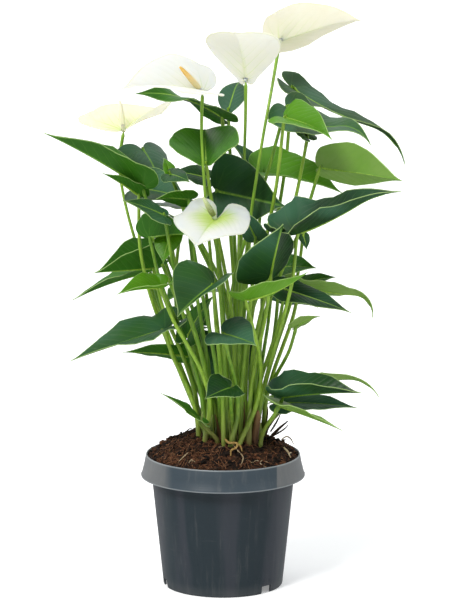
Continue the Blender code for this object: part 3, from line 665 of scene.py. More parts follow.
@dataclass(frozen=True)
class LeafFinish:
    """Living leaf: glossy above, paler below, with lighter veins and edge, and patches of painted sheen, a
    painted reflection, on the darker upper faces.
    """

    face: Face
    # The darkest upper stop is partly the leaf's own deep green and partly painted shade.
    upper: Stops = ((0.0, (0.007, 0.034, 0.012)), (0.38, (0.034, 0.142, 0.008)),
                    (0.70, (0.085, 0.260, 0.004)), (0.95, (0.200, 0.330, 0.075)))
    # The darkest under stop is painted shade, for undersides seen deep in the clump.
    under: Stops = ((0.0, (0.035, 0.095, 0.022)), (0.4, (0.130, 0.260, 0.050)),
                    (0.7, (0.260, 0.420, 0.085)), (0.95, (0.330, 0.410, 0.170)))
    # Bluish green painted on the dark upper faces in patches: a painted reflection of the bright studio.
    painted_sheen: Colour = (0.065, 0.185, 0.105)
    vein: Colour = (0.150, 0.320, 0.045)
    under_vein: Colour = (0.400, 0.540, 0.220)
    rim: Colour = (0.420, 0.600, 0.200)

    def made(self) -> bpy.types.Material:
        """Make the finish.

        Returns:
            Its material.
        """
        surface = Surface(f"Leaf {self.face.name.lower()}", Specular_IOR_Level=0.24)
        place = surface.place()
        cloud = surface.noise(place, 28.0, 3.0)
        grain = surface.noise(place, 900.0, 3.0)
        patches = surface.noise(place, 9.0, 2.0)
        level = surface.stored(TONE) + (cloud - 0.5) * 0.22 + (patches - 0.5) * 0.30
        if self.face is Face.EDGE:
            return surface.done(surface.mix(level, self.vein, self.rim), 0.42)
        veins = Veins().drawn(surface)
        if self.face is Face.UNDER:
            base = surface.mix(veins["side"] * 0.40, surface.ramp(level, self.under), self.under_vein)
            relief = veins["side"] * 0.5 - veins["swell"] * 0.2 + grain * 0.15
            roughness = 0.46 + grain * 0.10
        else:
            # Painted reflection: bluish sheen patches on the darker leaves' upper faces.
            painted_sheen = surface.noise(place, 11.0, 1.0).above(0.42, 0.60) * level.below(0.02, 0.26)
            base = surface.mix(painted_sheen * 0.65, surface.ramp(level, self.upper), self.painted_sheen)
            base = surface.mix(veins["side"] * (0.05 + level * 0.34), base, self.vein)
            relief = veins["swell"] * 0.16 - veins["side"] * 0.24 + grain * 0.10
            roughness = 0.27 + grain * 0.12 + cloud * 0.06
        base = surface.mix(veins["midrib"] * 0.75, base, self.vein)
        base = surface.mix(veins["edge"] * (0.35 + cloud * 0.5), base, self.rim)
        return surface.done(base, roughness, relief, 0.0006)


@dataclass(frozen=True)
class StemFinish:
    """Light green stems with faint streaks, browner at the foot."""

    light: Colour = (0.300, 0.490, 0.040)
    deep: Colour = (0.100, 0.250, 0.016)
    foot: Colour = (0.210, 0.150, 0.060)

    def made(self) -> bpy.types.Material:
        """Make the finish.

        Returns:
            Its material.
        """
        surface = Surface("Stem", Specular_IOR_Level=0.5)
        place = surface.place()
        streaks = surface.streaks(place, (420.0, 420.0, 22.0), 3.0)
        cloud = surface.noise(place, 22.0, 2.0)
        share = streaks.above(0.36, 0.64) * 0.45 + cloud * 0.5 + surface.stored(TONE) * 0.6 - 0.30
        low = surface.part(place, 2).below(0.170, 0.230)
        base = surface.mix(share, self.deep, self.light)
        base = surface.mix(low * (0.25 + cloud * 0.5), base, self.foot)
        return surface.done(base, 0.34 + streaks * 0.12, streaks, 0.0002)


@dataclass(frozen=True)
class SpatheFinish:
    """Waxy white bract, darker and creamier behind, with yellow-green veins that fade from the stem outwards;
    each spathe's white is darkened towards a deeper cream, partly its own cream and partly painted shade.
    """

    face: Face
    white: Colour = (0.790, 0.785, 0.720)
    cream: Colour = (0.780, 0.740, 0.560)
    back: Colour = (0.740, 0.730, 0.655)
    # A deeper cream: partly the bract's own cream and partly painted shade.
    shade: Colour = (0.560, 0.530, 0.400)
    green: Colour = (0.360, 0.570, 0.070)
    rim: Colour = (0.560, 0.580, 0.300)

    def made(self) -> bpy.types.Material:
        """Make the finish.

        Returns:
            Its material.
        """
        surface = Surface(f"Spathe {self.face.name.lower()}", Specular_IOR_Level=0.3, Subsurface_Weight=0.95,
                          Subsurface_Radius=(0.008, 0.007, 0.005), Subsurface_Scale=1.0)
        tone, ivory = surface.stored(TONE), surface.stored(CREAM_AND_SHADE)
        cloud = surface.noise(surface.place(), 30.0, 3.0)
        if self.face is Face.EDGE:
            return surface.done(surface.mix(cloud, self.white, self.cream), 0.5)
        veins = Veins(pairs=7.0, basal=17.0, sweep=0.55, bow=0.2).drawn(surface)
        near = veins["out"].below(0.05, 0.85)
        base = surface.mix(cloud * 0.35 + tone * 0.20, self.white, self.cream)
        # The back is a darker, creamier white.
        if self.face is Face.UNDER:
            base = surface.mix(0.10 + cloud * 0.3, self.back, self.shade)
        # Partly own cream, partly painted shade: the white darkened by each spathe's stored level.
        base = surface.mix(ivory * (0.75 + cloud * 0.3), base, self.shade)
        for share in ((veins["side"] * (0.20 + tone * 0.80) + 0.05 + tone * 0.40) * near,
                      veins["midrib"] * (0.10 + tone * 0.5) * near,
                      veins["out"].below(0.05, 0.75) * tone.above(0.5, 0.85) * 0.9):
            base = surface.mix(share, base, self.green)
        base = surface.mix(veins["out"].above(0.950, 0.985) * 0.40, base, self.rim)
        relief = veins["swell"] * 0.30 - veins["side"] * 0.2
        return surface.done(base, 0.45 + cloud * 0.1, relief, 0.0004)


@dataclass(frozen=True)
class SpadixFinish:
    """A spadix: one colour at its foot and another at its tip, with paler floret tops."""

    spike: Spike
    foot: Colour
    tip: Colour

    def made(self) -> bpy.types.Material:
        """Make the finish.

        Returns:
            Its material.
        """
        surface = Surface(f"Spadix {self.spike.value}", Specular_IOR_Level=0.4, Subsurface_Weight=0.2,
                          Subsurface_Radius=(0.002, 0.001, 0.0005), Subsurface_Scale=1.0)
        _, along = surface.chart(POLAR)
        grain = surface.noise(surface.place(), 700.0, 2.0)
        base = surface.mix(along.above(0.1, 0.95), self.foot, self.tip)
        base = surface.mix(grain.above(0.5, 0.75) * 0.5, base, tuple(0.5 + 0.5 * part for part in self.tip))
        return surface.done(base, 0.55, grain, 0.0003)


@dataclass(frozen=True)
class EarthFinish:
    """Peat, bark, fibres or roots: a dark and a light colour, mottled, with a rough skin."""

    name: str
    dark: Colour
    light: Colour
    scale: float = 260.0
    roughness: float = 0.88

    def made(self) -> bpy.types.Material:
        """Make the finish.

        Returns:
            Its material.
        """
        surface = Surface(self.name, Specular_IOR_Level=0.25)
        place = surface.place()
        clumps = surface.noise(place, 0.25 * self.scale, 3.0)
        crumbs = surface.noise(place, 0.9 * self.scale, 4.0, 0.7)
        grain = surface.noise(place, 2.4 * self.scale, 5.0, 0.7)
        share = clumps.above(0.42, 0.62) * 0.35 + crumbs.above(0.50, 0.62) * 0.75 + (grain - 0.5) * 0.8
        base = surface.mix(share, self.dark, self.light)
        return surface.done(base, self.roughness, crumbs + grain * 0.5, 0.0025)


@dataclass(frozen=True)
class SheathFinish:
    """Dry sheaths round the stems' feet: papery, from green to reddish brown, with long ribs."""

    name: str
    low: Colour
    high: Colour

    def made(self) -> bpy.types.Material:
        """Make the finish.

        Returns:
            Its material.
        """
        surface = Surface(self.name, Specular_IOR_Level=0.35)
        _, along = surface.chart(POLAR)
        ribs = surface.streaks(surface.place(), (500.0, 500.0, 30.0), 3.0)
        base = surface.mix(along * 0.8 + ribs * 0.5 - 0.15, self.low, self.high)
        return surface.done(base, 0.55 + ribs * 0.2, ribs, 0.0004)


@dataclass(frozen=True)
class PotFinish:
    """Moulded grey plastic: satin, with upright streaks and faint marks, painted reflection bands, a painted
    reflection at its left and right sides, and a bluish rim painted lighter as if lit from above, with pale
    painted highlight lines on its edges.
    """

    body: Colour = (0.021, 0.034, 0.043)
    # Lighter, bluer upright bands on the body: painted reflection.
    reflection_band: Colour = (0.036, 0.044, 0.056)
    # The rim's plastic painted lighter and bluer than the body: painted light falling on it from above.
    rim: Colour = (0.040, 0.058, 0.073)
    # Pale colour painted on the lip's and the top's edges: painted highlights.
    pale: Colour = (0.340, 0.370, 0.380)
    # Grey dust for the real streaks, scuffs and dusty foot, also used for the painted reflection at the pot's
    # sides.
    dust_and_sheen: Colour = (0.200, 0.195, 0.185)

    def made(self) -> bpy.types.Material:
        """Make the finish.

        Returns:
            Its material.
        """
        surface = Surface("Pot plastic", Specular_IOR_Level=0.5)
        place = surface.place()
        side, height = surface.part(place, 0), surface.part(place, 2)
        cloud = surface.noise(place, 16.0, 3.0)
        grain = surface.noise(place, 1400.0, 2.0)
        rings = surface.streaks(place, (1.5, 1.5, 420.0), 2.0)
        # Painted reflection: wide upright bands where the satin plastic would mirror the light.
        reflection_bands = surface.streaks(place, (26.0, 26.0, 1.2), 2.0)
        streaks = surface.streaks(place, (150.0, 150.0, 5.0), 4.0, 0.65)
        scuffs = surface.streaks(place, (25.0, 25.0, 260.0), 3.0, 0.7)
        # The rim: painted light makes it lighter and bluer than the body.
        on_rim = height.above(0.1285, 0.1295)
        # Painted highlight lines along the lip and the top edge of the rim.
        lip = height.above(0.1290, 0.1297) * height.below(0.1300, 0.1316)
        top = height.above(0.1530, 0.1545)
        # Painted reflection: lighter at the pot's left and right sides, most on the rim.
        side_sheen = (side.above(0.0610, 0.0622) + side.below(-0.0720, -0.0560)) * (on_rim * 0.50 + 0.05)
        base = surface.mix(reflection_bands.above(0.44, 0.58), self.body, self.reflection_band)
        for share, colour in ((on_rim, self.rim), (side_sheen * (0.6 + streaks * 0.6), self.dust_and_sheen),
                              (lip * 0.55, self.pale), (top * 0.55, self.pale),
                              (streaks.above(0.52, 0.80) * 0.20 + scuffs.above(0.64, 0.80) * 0.12, self.dust_and_sheen),
                              (height.below(0.002, 0.016) * cloud * 0.30, self.dust_and_sheen)):
            base = surface.mix(share, base, colour)
        roughness = 0.30 + streaks * 0.14 + rings * 0.06
        return surface.done(base, roughness, grain * 0.4 + rings * 0.6, 0.00012)


def clear_selection() -> None:
    """Leave object mode with nothing selected."""
    if bpy.context.object is not None and bpy.context.object.mode != "OBJECT":
        bpy.ops.object.mode_set(mode="OBJECT")
    bpy.ops.object.select_all(action="DESELECT")


def pick(*pieces: bpy.types.Object) -> None:
    """Select only these pieces, the first of them active.

    Args:
        pieces: the pieces.
    """
    clear_selection()
    for piece in pieces:
        piece.select_set(True)
    bpy.context.view_layer.objects.active = pieces[0]


def in_edit_mode(piece: bpy.types.Object, *steps: Callable[[], object]) -> None:
    """Run edit-mode operators on the whole of a piece.

    Args:
        piece: the piece.
        steps: calls of operators, in order.
    """
    pick(piece)
    bpy.ops.object.mode_set(mode="EDIT")
    bpy.ops.mesh.select_all(action="SELECT")
    for step in steps:
        step()
    bpy.ops.object.mode_set(mode="OBJECT")


def merge_doubles() -> None:
    """Merge the selected points that lie on each other."""
    bpy.ops.mesh.remove_doubles(threshold=MERGE)


def face_outwards() -> None:
    """Point the selected faces outwards."""
    bpy.ops.mesh.normals_make_consistent(inside=False)


def places_of(piece: bpy.types.Object) -> np.ndarray:
    """Read where a piece's points are.

    Args:
        piece: the piece.

    Returns:
        A row for each point, in metres.
    """
    places = np.empty(3 * len(piece.data.vertices))
    piece.data.vertices.foreach_get("co", places)
    return places.reshape(-1, 3)


def shaped_grid(name: str, columns: int, rows: int, shape: Shape, closed: bool = False) -> bpy.types.Object:
    """Add a grid, move its points to where a shape puts them and merge its seams.

    Args:
        name: the piece's name.
        columns: the faces across.
        rows: the faces up.
        shape: gives places in millimetres from two arrays that run from 0 to 1 across and up.
        closed: whether the result encloses a volume.

    Returns:
        The piece, with the grid's own chart kept as its polar map.
    """
    clear_selection()
    bpy.ops.mesh.primitive_grid_add(x_subdivisions=columns, y_subdivisions=rows, size=1.0)
    piece = bpy.context.object
    piece.name = piece.data.name = name
    corners = places_of(piece) + 0.5
    piece.data.vertices.foreach_set("co", (shape(corners[:, 0], corners[:, 1]) * MM).ravel())
    piece.data.uv_layers[0].name = POLAR
    in_edit_mode(piece, merge_doubles, *((face_outwards,) if closed else ()))
    return piece


def finished(piece: bpy.types.Object, *modifiers: tuple[str, dict]) -> bpy.types.Object:
    """Apply modifiers to a piece.

    Args:
        piece: the piece.
        modifiers: the type and the settings of each, in order.

    Returns:
        The same piece.
    """
    pick(piece)
    for kind, settings in modifiers:
        modifier = piece.modifiers.new(kind.title(), kind)
        for name, value in settings.items():
            setattr(modifier, name, value)
        bpy.ops.object.modifier_apply(modifier=modifier.name)
    return piece


def dressed(piece: bpy.types.Object, *materials: bpy.types.Material) -> bpy.types.Object:
    """Give a piece its materials and smooth shading.

    Args:
        piece: the piece.
        materials: one for each of its slots.

    Returns:
        The same piece.
    """
    piece.data.materials.clear()
    for material in materials:
        piece.data.materials.append(material)
    pick(piece)
    bpy.ops.object.shade_smooth_by_angle(angle=math.radians(50))
    return piece


def joined(name: str, pieces: Sequence[bpy.types.Object]) -> bpy.types.Object:
    """Join pieces to one.

    Args:
        name: its name.
        pieces: what it is joined from.

    Returns:
        The piece.
    """
    pick(*pieces)
    if len(pieces) > 1:
        bpy.ops.object.join()
    whole = bpy.context.object
    whole.name = whole.data.name = name
    return whole


def pressed_inside(piece: bpy.types.Object, box: Sequence, margin: float = 0.015,
                   gap: float = 0.0001) -> bpy.types.Object:
    """Press in what stands past a box, over the last margin before its sides.

    Args:
        piece: the piece.
        box: the box's lowest and highest corner, in metres.
        margin: how far inside the box the pressing starts.
        gap: how far inside the box the piece ends.

    Returns:
        The piece.
    """
    points = places_of(piece)
    for axis in range(3):
        for corner, way in zip(box, (-1.0, 1.0)):
            reach = way * points[:, axis]
            limit, start = way * corner[axis] - gap, way * corner[axis] - margin
            if reach.max() > limit:
                share = (limit - start) / (reach.max() - start)
                points[:, axis] = way * np.where(reach > start, start + (reach - start) * share, reach)
    piece.data.vertices.foreach_set("co", points.ravel())
    piece.data.update()
    return piece


def toned(piece: bpy.types.Object, level: float, kind: str = TONE) -> bpy.types.Object:
    """Store a level on a piece's points.

    Args:
        piece: the piece.
        level: the level.
        kind: the attribute's name.

    Returns:
        The same piece.
    """
    tone = piece.data.attributes.new(kind, "FLOAT", "POINT")
    tone.data.foreach_set("value", np.full(len(piece.data.vertices), level))
    return piece


def settled(piece: bpy.types.Object, node: str = "") -> bpy.types.Object:
    """Tell the frame what a finished piece is, and report it.

    Args:
        piece: the piece.
        node: the solid that it stands for, if any.

    Returns:
        The same piece.
    """
    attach(piece, BODY)
    if node:
        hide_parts(node)
    log.info("%s: %d faces", piece.name, len(piece.data.polygons))
    return piece


def tube(name: str, path: np.ndarray, radii: Sequence[float], sides: int = 10, rows: int = 40,
         rough: float = 0.0) -> bpy.types.Object:
    """Model a round, closed rod with a smooth run.

    Args:
        name: the piece's name.
        path: the points that it follows, in millimetres.
        radii: its radius at places spread evenly along it.
        sides: the faces round it.
        rows: the faces along it.
        rough: how much the radius wavers, as a share of it.

    Returns:
        The rod.
    """
    def shape(turn: np.ndarray, along: np.ndarray) -> np.ndarray:
        """Lay the grid round the rod.

        Args:
            turn: the place round it, from 0 to 1.
            along: the place along it, from 0 to 1.

        Returns:
            Points on its skin.
        """
        steps = np.linspace(0.0, 1.0, 12 * len(path))
        reached = travelled(smooth_through(path, steps))
        at = np.interp(along * reached[-1], reached, steps)
        before, after = np.maximum(at - 0.002, 0.0), np.minimum(at + 0.002, 1.0)
        ahead = smooth_through(path, after) - smooth_through(path, before)
        ahead /= np.maximum(np.linalg.norm(ahead, axis=1), 1e-9)[:, None]
        whole = path[-1] - path[0]
        steep = abs(whole[1]) < 0.8 * np.linalg.norm(whole)
        first = np.cross(ahead, np.array((0.0, 1.0, 0.0) if steep else (1.0, 0.0, 0.0)))
        first /= np.maximum(np.linalg.norm(first, axis=1), 1e-9)[:, None]
        radius = np.interp(along, np.linspace(0.0, 1.0, len(radii)), radii)
        radius = radius * (1.0 + rough * np.sin(37.0 * along + 5.0 * turn) * np.sin(91.0 * along))
        return on_rod(smooth_through(path, at), radius, turn, along, (first, np.cross(ahead, first)))

    return shaped_grid(name, sides, rows, shape, closed=True)


@dataclass
class Pot:
    """The nursery pot: a thin shell with a folded, flared rim, a raised floor, notches and holes."""

    sectors: int = 144
    base_radius: float = 69.5
    body_top_radius: float = 83.0
    body_top_height: float = 129.0
    lip_radius: float = 95.5
    rim_radius: float = 89.5
    height: float = 155.0
    wall: float = 1.7
    floor_raise: float = 8.0
    rest_radius: float = 29.0
    lip_below_top: float = 25.5
    shoulder_below_top: float = 21.0
    shoulder_step: float = 2.6
    notch_size: tuple[float, float, float] = (15.0, 12.0, 10.0)
    notch_angles: tuple[float, ...] = (46.0, 166.0, 286.0)
    drain_radius: float = 4.0
    drain_ring: float = 50.0
    drain_count: int = 6
    finish: PotFinish = PotFinish()

    def body_radius(self, height: float) -> float:
        """Return the outer radius of the body at a height."""
        return self.base_radius + (self.body_top_radius - self.base_radius) * height / self.body_top_height

    def section(self) -> list[tuple[float, float]]:
        """Give the pot's section.

        Returns:
            Radii and heights, from the middle of the floor up the inside, over the rim and back below.
        """
        wall, rim, top = self.wall, self.rim_radius, self.height
        lip, shoulder = top - self.lip_below_top, top - self.shoulder_below_top
        outer = rim - self.shoulder_step
        body = [(self.body_radius(height), height) for height in (2.0, 20.0, 45.0, 70.0, 95.0, 118.0)]
        return [
            (0.0, wall), (self.rest_radius - wall, wall), (self.rest_radius + 2.0, self.floor_raise + wall),
            (self.body_radius(self.floor_raise) - wall, self.floor_raise + wall),
            (self.body_top_radius - wall, self.body_top_height + 0.6), (outer - wall, shoulder + 0.4),
            (rim - wall, top - 1.2), (rim - wall + 0.5, top - 0.3), (rim - wall + 1.0, top),
            (rim - 0.1, top - 0.2), (rim + 0.25, top - 1.0),
            (rim + 0.3 * (self.lip_radius - rim), top - 10.0), (self.lip_radius - 1.1, lip + 3.0),
            (self.lip_radius, lip + 1.1), (self.lip_radius - 0.15, lip + 0.1), (self.lip_radius - wall, lip),
            (rim - 0.5, top - 5.0), (rim - 1.1, top - 5.0), (outer, shoulder),
            (self.body_top_radius, self.body_top_height), *body[::-1],
            (self.base_radius - 0.2, 0.6), (self.base_radius - 0.8, 0.0), (self.base_radius - 2.4, 0.0),
            (self.base_radius - 2.0, self.floor_raise), (self.rest_radius + 3.0, self.floor_raise),
            (self.rest_radius, 0.0), (0.0, 0.0),
        ]

    def cutter(self) -> bpy.types.Object:
        """Model what is cut from the shell.

        Returns:
            Blocks for the notches at the foot and rods for the drain holes, as one piece.
        """
        cutters = []
        for angle in self.notch_angles:
            turn = math.radians(angle)
            reach = (self.base_radius - 1.0) * MM
            place = (reach * math.sin(turn), -reach * math.cos(turn), (0.5 * self.notch_size[2] - 1.0) * MM)
            clear_selection()
            bpy.ops.mesh.primitive_cube_add(size=1.0, location=place, rotation=(0.0, 0.0, turn))
            cutters.append(bpy.context.object)
            cutters[-1].scale = [side * MM for side in self.notch_size]
        for number in range(self.drain_count):
            angle = math.tau * (number + 0.5) / self.drain_count
            place = (*on_circle(self.drain_ring * MM, angle), self.floor_raise * MM)
            clear_selection()
            bpy.ops.mesh.primitive_cylinder_add(vertices=24, radius=self.drain_radius * MM,
                                                depth=6.0 * self.wall * MM, location=place)
            cutters.append(bpy.context.object)
        return joined("Pot_cutter", cutters)

    def built(self) -> bpy.types.Object:
        """Model the pot.

        Returns:
            The pot, in place of its solid.
        """
        section = np.array(self.section())
        rows = np.arange(len(section))

        def shape(turn: np.ndarray, along: np.ndarray) -> np.ndarray:
            """Turn the section round the pot's axis.

            Args:
                turn: the place round it, from 0 to 1.
                along: the place along the section, from 0 to 1.

            Returns:
                Points on the shell.
            """
            at = along * (len(section) - 1)
            radius, height = np.interp(at, rows, section[:, 0]), np.interp(at, rows, section[:, 1])
            return np.column_stack((*on_circle(radius, math.tau * turn), height))

        pot = shaped_grid("Pot_shell", self.sectors, len(section) - 1, shape, closed=True)
        cutter = self.cutter()
        finished(pot, ("BOOLEAN", {"operation": "DIFFERENCE", "object": cutter, "solver": "EXACT"}),
                 ("BEVEL", {"width": 0.3 * MM, "segments": 2, "limit_method": "ANGLE",
                            "angle_limit": math.radians(40)}))
        bpy.data.objects.remove(cutter)
        return settled(dressed(pot, self.finish.made()), "pot")


@dataclass(frozen=True)
class Strand:
    """A root or twig with a place of its own: its kind, the points that it follows and its radius."""

    kind: str
    points: tuple[Place, ...]
    radius: float


STRANDS = (
    Strand("Fine_roots", ((68, 21, 166), (74, 28, 168), (79, 27, 166), (83, 20, 160)), 0.9),
    Strand("Fine_roots", ((70, -13, 165), (75, -26, 162), (78, -35, 157)), 1.2),
    Strand("Fine_roots", ((79, -20, 160), (77, -27, 161), (76, -32, 160)), 0.8),
    Strand("Fine_roots", ((11, -43, 175), (17, -54, 170), (23, -66, 165), (20, -78, 158)), 0.8),
    Strand("Fine_roots", ((-40, -54, 168), (-48, -62, 162), (-51, -65, 159)), 0.6),
    Strand("Golden_roots", ((2, -36, 180), (7, -48, 178), (16, -50, 178), (15, -55, 174), (9, -58, 171),
                            (9, -66, 165)), 1.5),
    Strand("Golden_roots", ((16, -50, 178), (20, -52, 175), (22, -58, 170)), 0.9),
    Strand("Twigs", ((50, 0, 168), (64, 0, 183), (76, 2, 193)), 1.9),
    Strand("Twigs", ((55, 8, 178), (62, 6, 190), (67, 4, 201)), 1.2),
    Strand("Twigs", ((58, -4, 176), (70, -6, 184), (76, -6, 190)), 1.1),
    Strand("Twigs", ((-48, 12, 172), (-34, 12, 180), (-20, 12, 180)), 1.4),
)


@dataclass(frozen=True)
class Clods:
    """Crumbs of one kind that lie on the soil: how many, their radii and their proportions."""

    name: str
    count: int
    sizes: tuple[float, float]
    stretch: Place
    finish: EarthFinish


CLODS = (
    Clods("Dark_clods", 380, (1.0, 3.4), (1.0, 0.80, 0.75),
          EarthFinish("Dark clod", (0.005, 0.003, 0.002), (0.040, 0.018, 0.010))),
    Clods("Red_clods", 380, (0.9, 3.0), (1.0, 0.80, 0.70),
          EarthFinish("Red clod", (0.050, 0.018, 0.008), (0.230, 0.095, 0.045))),
    Clods("Bark_chips", 90, (1.5, 3.4), (1.5, 0.8, 0.45),
          EarthFinish("Bark", (0.030, 0.014, 0.008), (0.140, 0.068, 0.038), 400.0)),
)


@dataclass(frozen=True)
class Litter:
    """Fibres, twigs or roots of one kind that lie on the soil, besides those with a place of their own."""

    name: str
    finish: EarthFinish
    count: int = 0
    lengths: tuple[float, float] = (10.0, 20.0)
    radii: tuple[float, float] = (0.5, 0.8)
    lift: float = 1.0


LITTER = (
    Litter("Peat_fibres", EarthFinish("Peat fibre", (0.120, 0.045, 0.020), (0.480, 0.230, 0.110), 500.0),
           300, (8.0, 22.0), (0.22, 0.42), 1.2),
    Litter("Twigs", EarthFinish("Twig", (0.020, 0.010, 0.006), (0.070, 0.038, 0.022), 400.0),
           16, (10.0, 24.0), (0.6, 1.1), 1.5),
    Litter("Fine_roots", EarthFinish("Root", (0.420, 0.300, 0.160), (0.740, 0.620, 0.420), 300.0, 0.7),
           7, (10.0, 22.0), (0.35, 0.6)),
    Litter("Golden_roots",
           EarthFinish("Golden root", (0.330, 0.190, 0.050), (0.560, 0.380, 0.130), 300.0, 0.6)),
)


@dataclass
class Soil:
    """The peat that fills the pot and stands above its rim, with all that lies on it.

    Half of the litter lies round the first angle of gathered, mostly within the second.
    """

    edge_height: float = 151.5
    mound: float = 23.0
    tilt: float = 0.03
    bump: float = 1.6
    reach: float = 87.8
    edge: float = 87.2
    thickness: float = 9.0
    crumbs: tuple[float, float] = (2.4, 1.3)
    sink: float = 0.3
    gathered: tuple[float, float] = (232.0, 28.0)
    finish: EarthFinish = EarthFinish("Peat", (0.006, 0.003, 0.002), (0.100, 0.040, 0.018))
    seed: int = 11

    def height(self, x: float, y: float) -> float:
        """Return the height of the soil's surface.

        Args:
            x: the place to the right, in millimetres.
            y: the place to the back.

        Returns:
            The height in millimetres.
        """
        reach = min(math.hypot(x, y) / self.reach, 1.0)
        bumps = math.sin(0.13 * x + 1.0) * math.cos(0.11 * y) + 0.6 * math.sin(0.29 * x - 0.23 * y)
        calm = 1.0 - reach ** 4
        return (self.edge_height + self.mound * (1.0 - reach ** 3) + self.tilt * y * calm
                + self.bump * bumps * calm)

    def crumbled(self, x: float, y: float) -> float:
        """Return the height of the surface with its crumbs.

        Args:
            x: the place to the right, in millimetres.
            y: the place to the back.

        Returns:
            The height in millimetres.
        """
        fine = math.sin(0.71 * x + 2.0 * math.sin(0.23 * y)) * math.sin(0.63 * y + 1.7 * math.sin(0.31 * x))
        finer = math.sin(1.9 * x + 0.9 * y) * math.sin(1.3 * x - 2.1 * y)
        calm = 1.0 - min(math.hypot(x, y) / self.edge, 1.0) ** 6
        return self.height(x, y) + (self.crumbs[0] * fine + self.crumbs[1] * finer) * calm

    def surface(self) -> bpy.types.Object:
        """Model the mound.

        Returns:
            A thick sheet.
        """
        def shape(turn: np.ndarray, out: np.ndarray) -> np.ndarray:
            """Return points on the mound, round its middle."""
            x, y = on_circle(self.edge * out, math.tau * turn)
            return np.column_stack((x, y, [self.crumbled(*place) for place in zip(x, y)]))

        mound = shaped_grid("Soil_mound", 150, 56, shape)
        in_edit_mode(mound, face_outwards)
        if mound.data.polygons[0].normal.z < 0.0:
            in_edit_mode(mound, bpy.ops.mesh.flip_normals)
        finished(mound, ("SOLIDIFY", {"thickness": self.thickness * MM, "offset": -1.0}))
        return dressed(mound, self.finish.made())

    def scattered(self, clods: Clods, source: random.Random) -> bpy.types.Object:
        """Model one clod and copy it over the soil, each copy turned and scaled its own way.

        Args:
            clods: the kind of clod.
            source: where the random places come from.

        Returns:
            All the copies as one piece.
        """
        clear_selection()
        bpy.ops.mesh.primitive_ico_sphere_add(subdivisions=2, radius=1.0)
        clod = bpy.context.object
        points = np.array([tuple(vertex.co) for vertex in clod.data.vertices])
        faces = [tuple(face.vertices) for face in clod.data.polygons]
        bpy.data.objects.remove(clod)
        lumps = 1.0 + 0.30 * np.sin(3.1 * points[:, 0] + 1.0) * np.sin(4.3 * points[:, 1]) \
            + 0.16 * np.sin(7.0 * points[:, 2] + 2.0 * points[:, 0])
        points = points * lumps[:, None] * clods.stretch
        all_points, all_faces = [], []
        for number in range(clods.count):
            angle, out = source.uniform(0.0, math.tau), self.edge * math.sqrt(source.uniform(0.0, 0.95))
            x, y = on_circle(out, angle)
            radius = source.uniform(*clods.sizes)
            up = Vector((source.uniform(-0.5, 0.5), source.uniform(-0.5, 0.5), 1.0))
            tipped = np.array(Vector((0, 0, 1)).rotation_difference(up).to_matrix())
            spun = np.array(Matrix.Rotation(source.uniform(0.0, math.tau), 3, "Z"))
            place = np.array((x, y, self.crumbled(x, y) + (0.5 - self.sink) * radius * clods.stretch[2]))
            all_points.append((points @ spun.T @ tipped.T) * radius + place)
            all_faces.extend(tuple(number * len(points) + corner for corner in face) for face in faces)
        mesh = bpy.data.meshes.new(clods.name)
        mesh.from_pydata(np.vstack(all_points) * MM, [], all_faces)
        piece = bpy.data.objects.new(clods.name, mesh)
        bpy.context.scene.collection.objects.link(piece)
        return dressed(piece, clods.finish.made())

    def strand(self, name: str, place: tuple[float, float], turn: float, length: float, radius: float,
               source: random.Random, lift: float = 0.5) -> bpy.types.Object:
        """Model a fibre or root that lies on the soil.

        Args:
            name: the piece's name.
            place: where its middle lies.
            turn: the way that it runs.
            length: its length.
            radius: its thickness.
            source: where its random bends come from.
            lift: how far its middle stands off the soil.

        Returns:
            The strand.
        """
        points = []
        for step in range(5):
            along = (step / 4 - 0.5) * length
            bow = source.uniform(-0.16, 0.16) * length
            x = place[0] + along * math.cos(turn) - bow * math.sin(turn)
            y = place[1] + along * math.sin(turn) + bow * math.cos(turn)
            distance = math.hypot(x, y)
            if distance > self.edge - 2.0:
                x, y = x * (self.edge - 2.0) / distance, y * (self.edge - 2.0) / distance
            points.append((x, y, self.crumbled(x, y) + radius + lift * source.uniform(-0.5, 2.0)))
        radii = (radius * 0.5, radius, radius, radius * 0.4)
        return tube(name, np.array(points), radii, sides=5, rows=10, rough=0.15)

    def strewn(self, litter: Litter, source: random.Random) -> bpy.types.Object:
        """Model the fibres, twigs or roots of one kind.

        Args:
            litter: the kind.
            source: where the random places come from.

        Returns:
            All of them as one piece.
        """
        strands = []
        for number in range(litter.count):
            angle, out = source.uniform(0.0, math.tau), self.edge * math.sqrt(source.uniform(0.12, 0.95))
            if number % 2:
                angle = math.radians(source.gauss(*self.gathered))
            turn, length, radius = (source.uniform(0.0, math.pi), source.uniform(*litter.lengths),
                                    source.uniform(*litter.radii))
            strands.append(self.strand(f"{litter.name}_{number}", on_circle(out, angle), turn, length, radius,
                                       source, litter.lift))
        for number, own in enumerate(strand for strand in STRANDS if strand.kind == litter.name):
            widths = (0.7 * own.radius, own.radius, 0.8 * own.radius, 0.35 * own.radius)
            path = np.array(own.points, float)
            strands.append(tube(f"{litter.name}_own_{number}", path, widths, 6, 24, 0.12))
        return dressed(joined(litter.name, strands), litter.finish.made())

    def built(self) -> list[bpy.types.Object]:
        """Model the soil and what lies on it.

        Returns:
            Its pieces, the first of which stands for the solid.
        """
        source = random.Random(self.seed)
        pieces = [settled(self.surface(), "soil")]
        pieces += [settled(self.scattered(clods, source)) for clods in CLODS]
        pieces += [settled(self.strewn(litter, source)) for litter in LITTER]
        return pieces


@dataclass(frozen=True, eq=False)
class Stem:
    """A stem to be led: its shoot, its place in the soil, its blade, and how it comes to it."""

    shoot: int
    root: np.ndarray
    blade: Blade
    arrival: np.ndarray
    handle: float


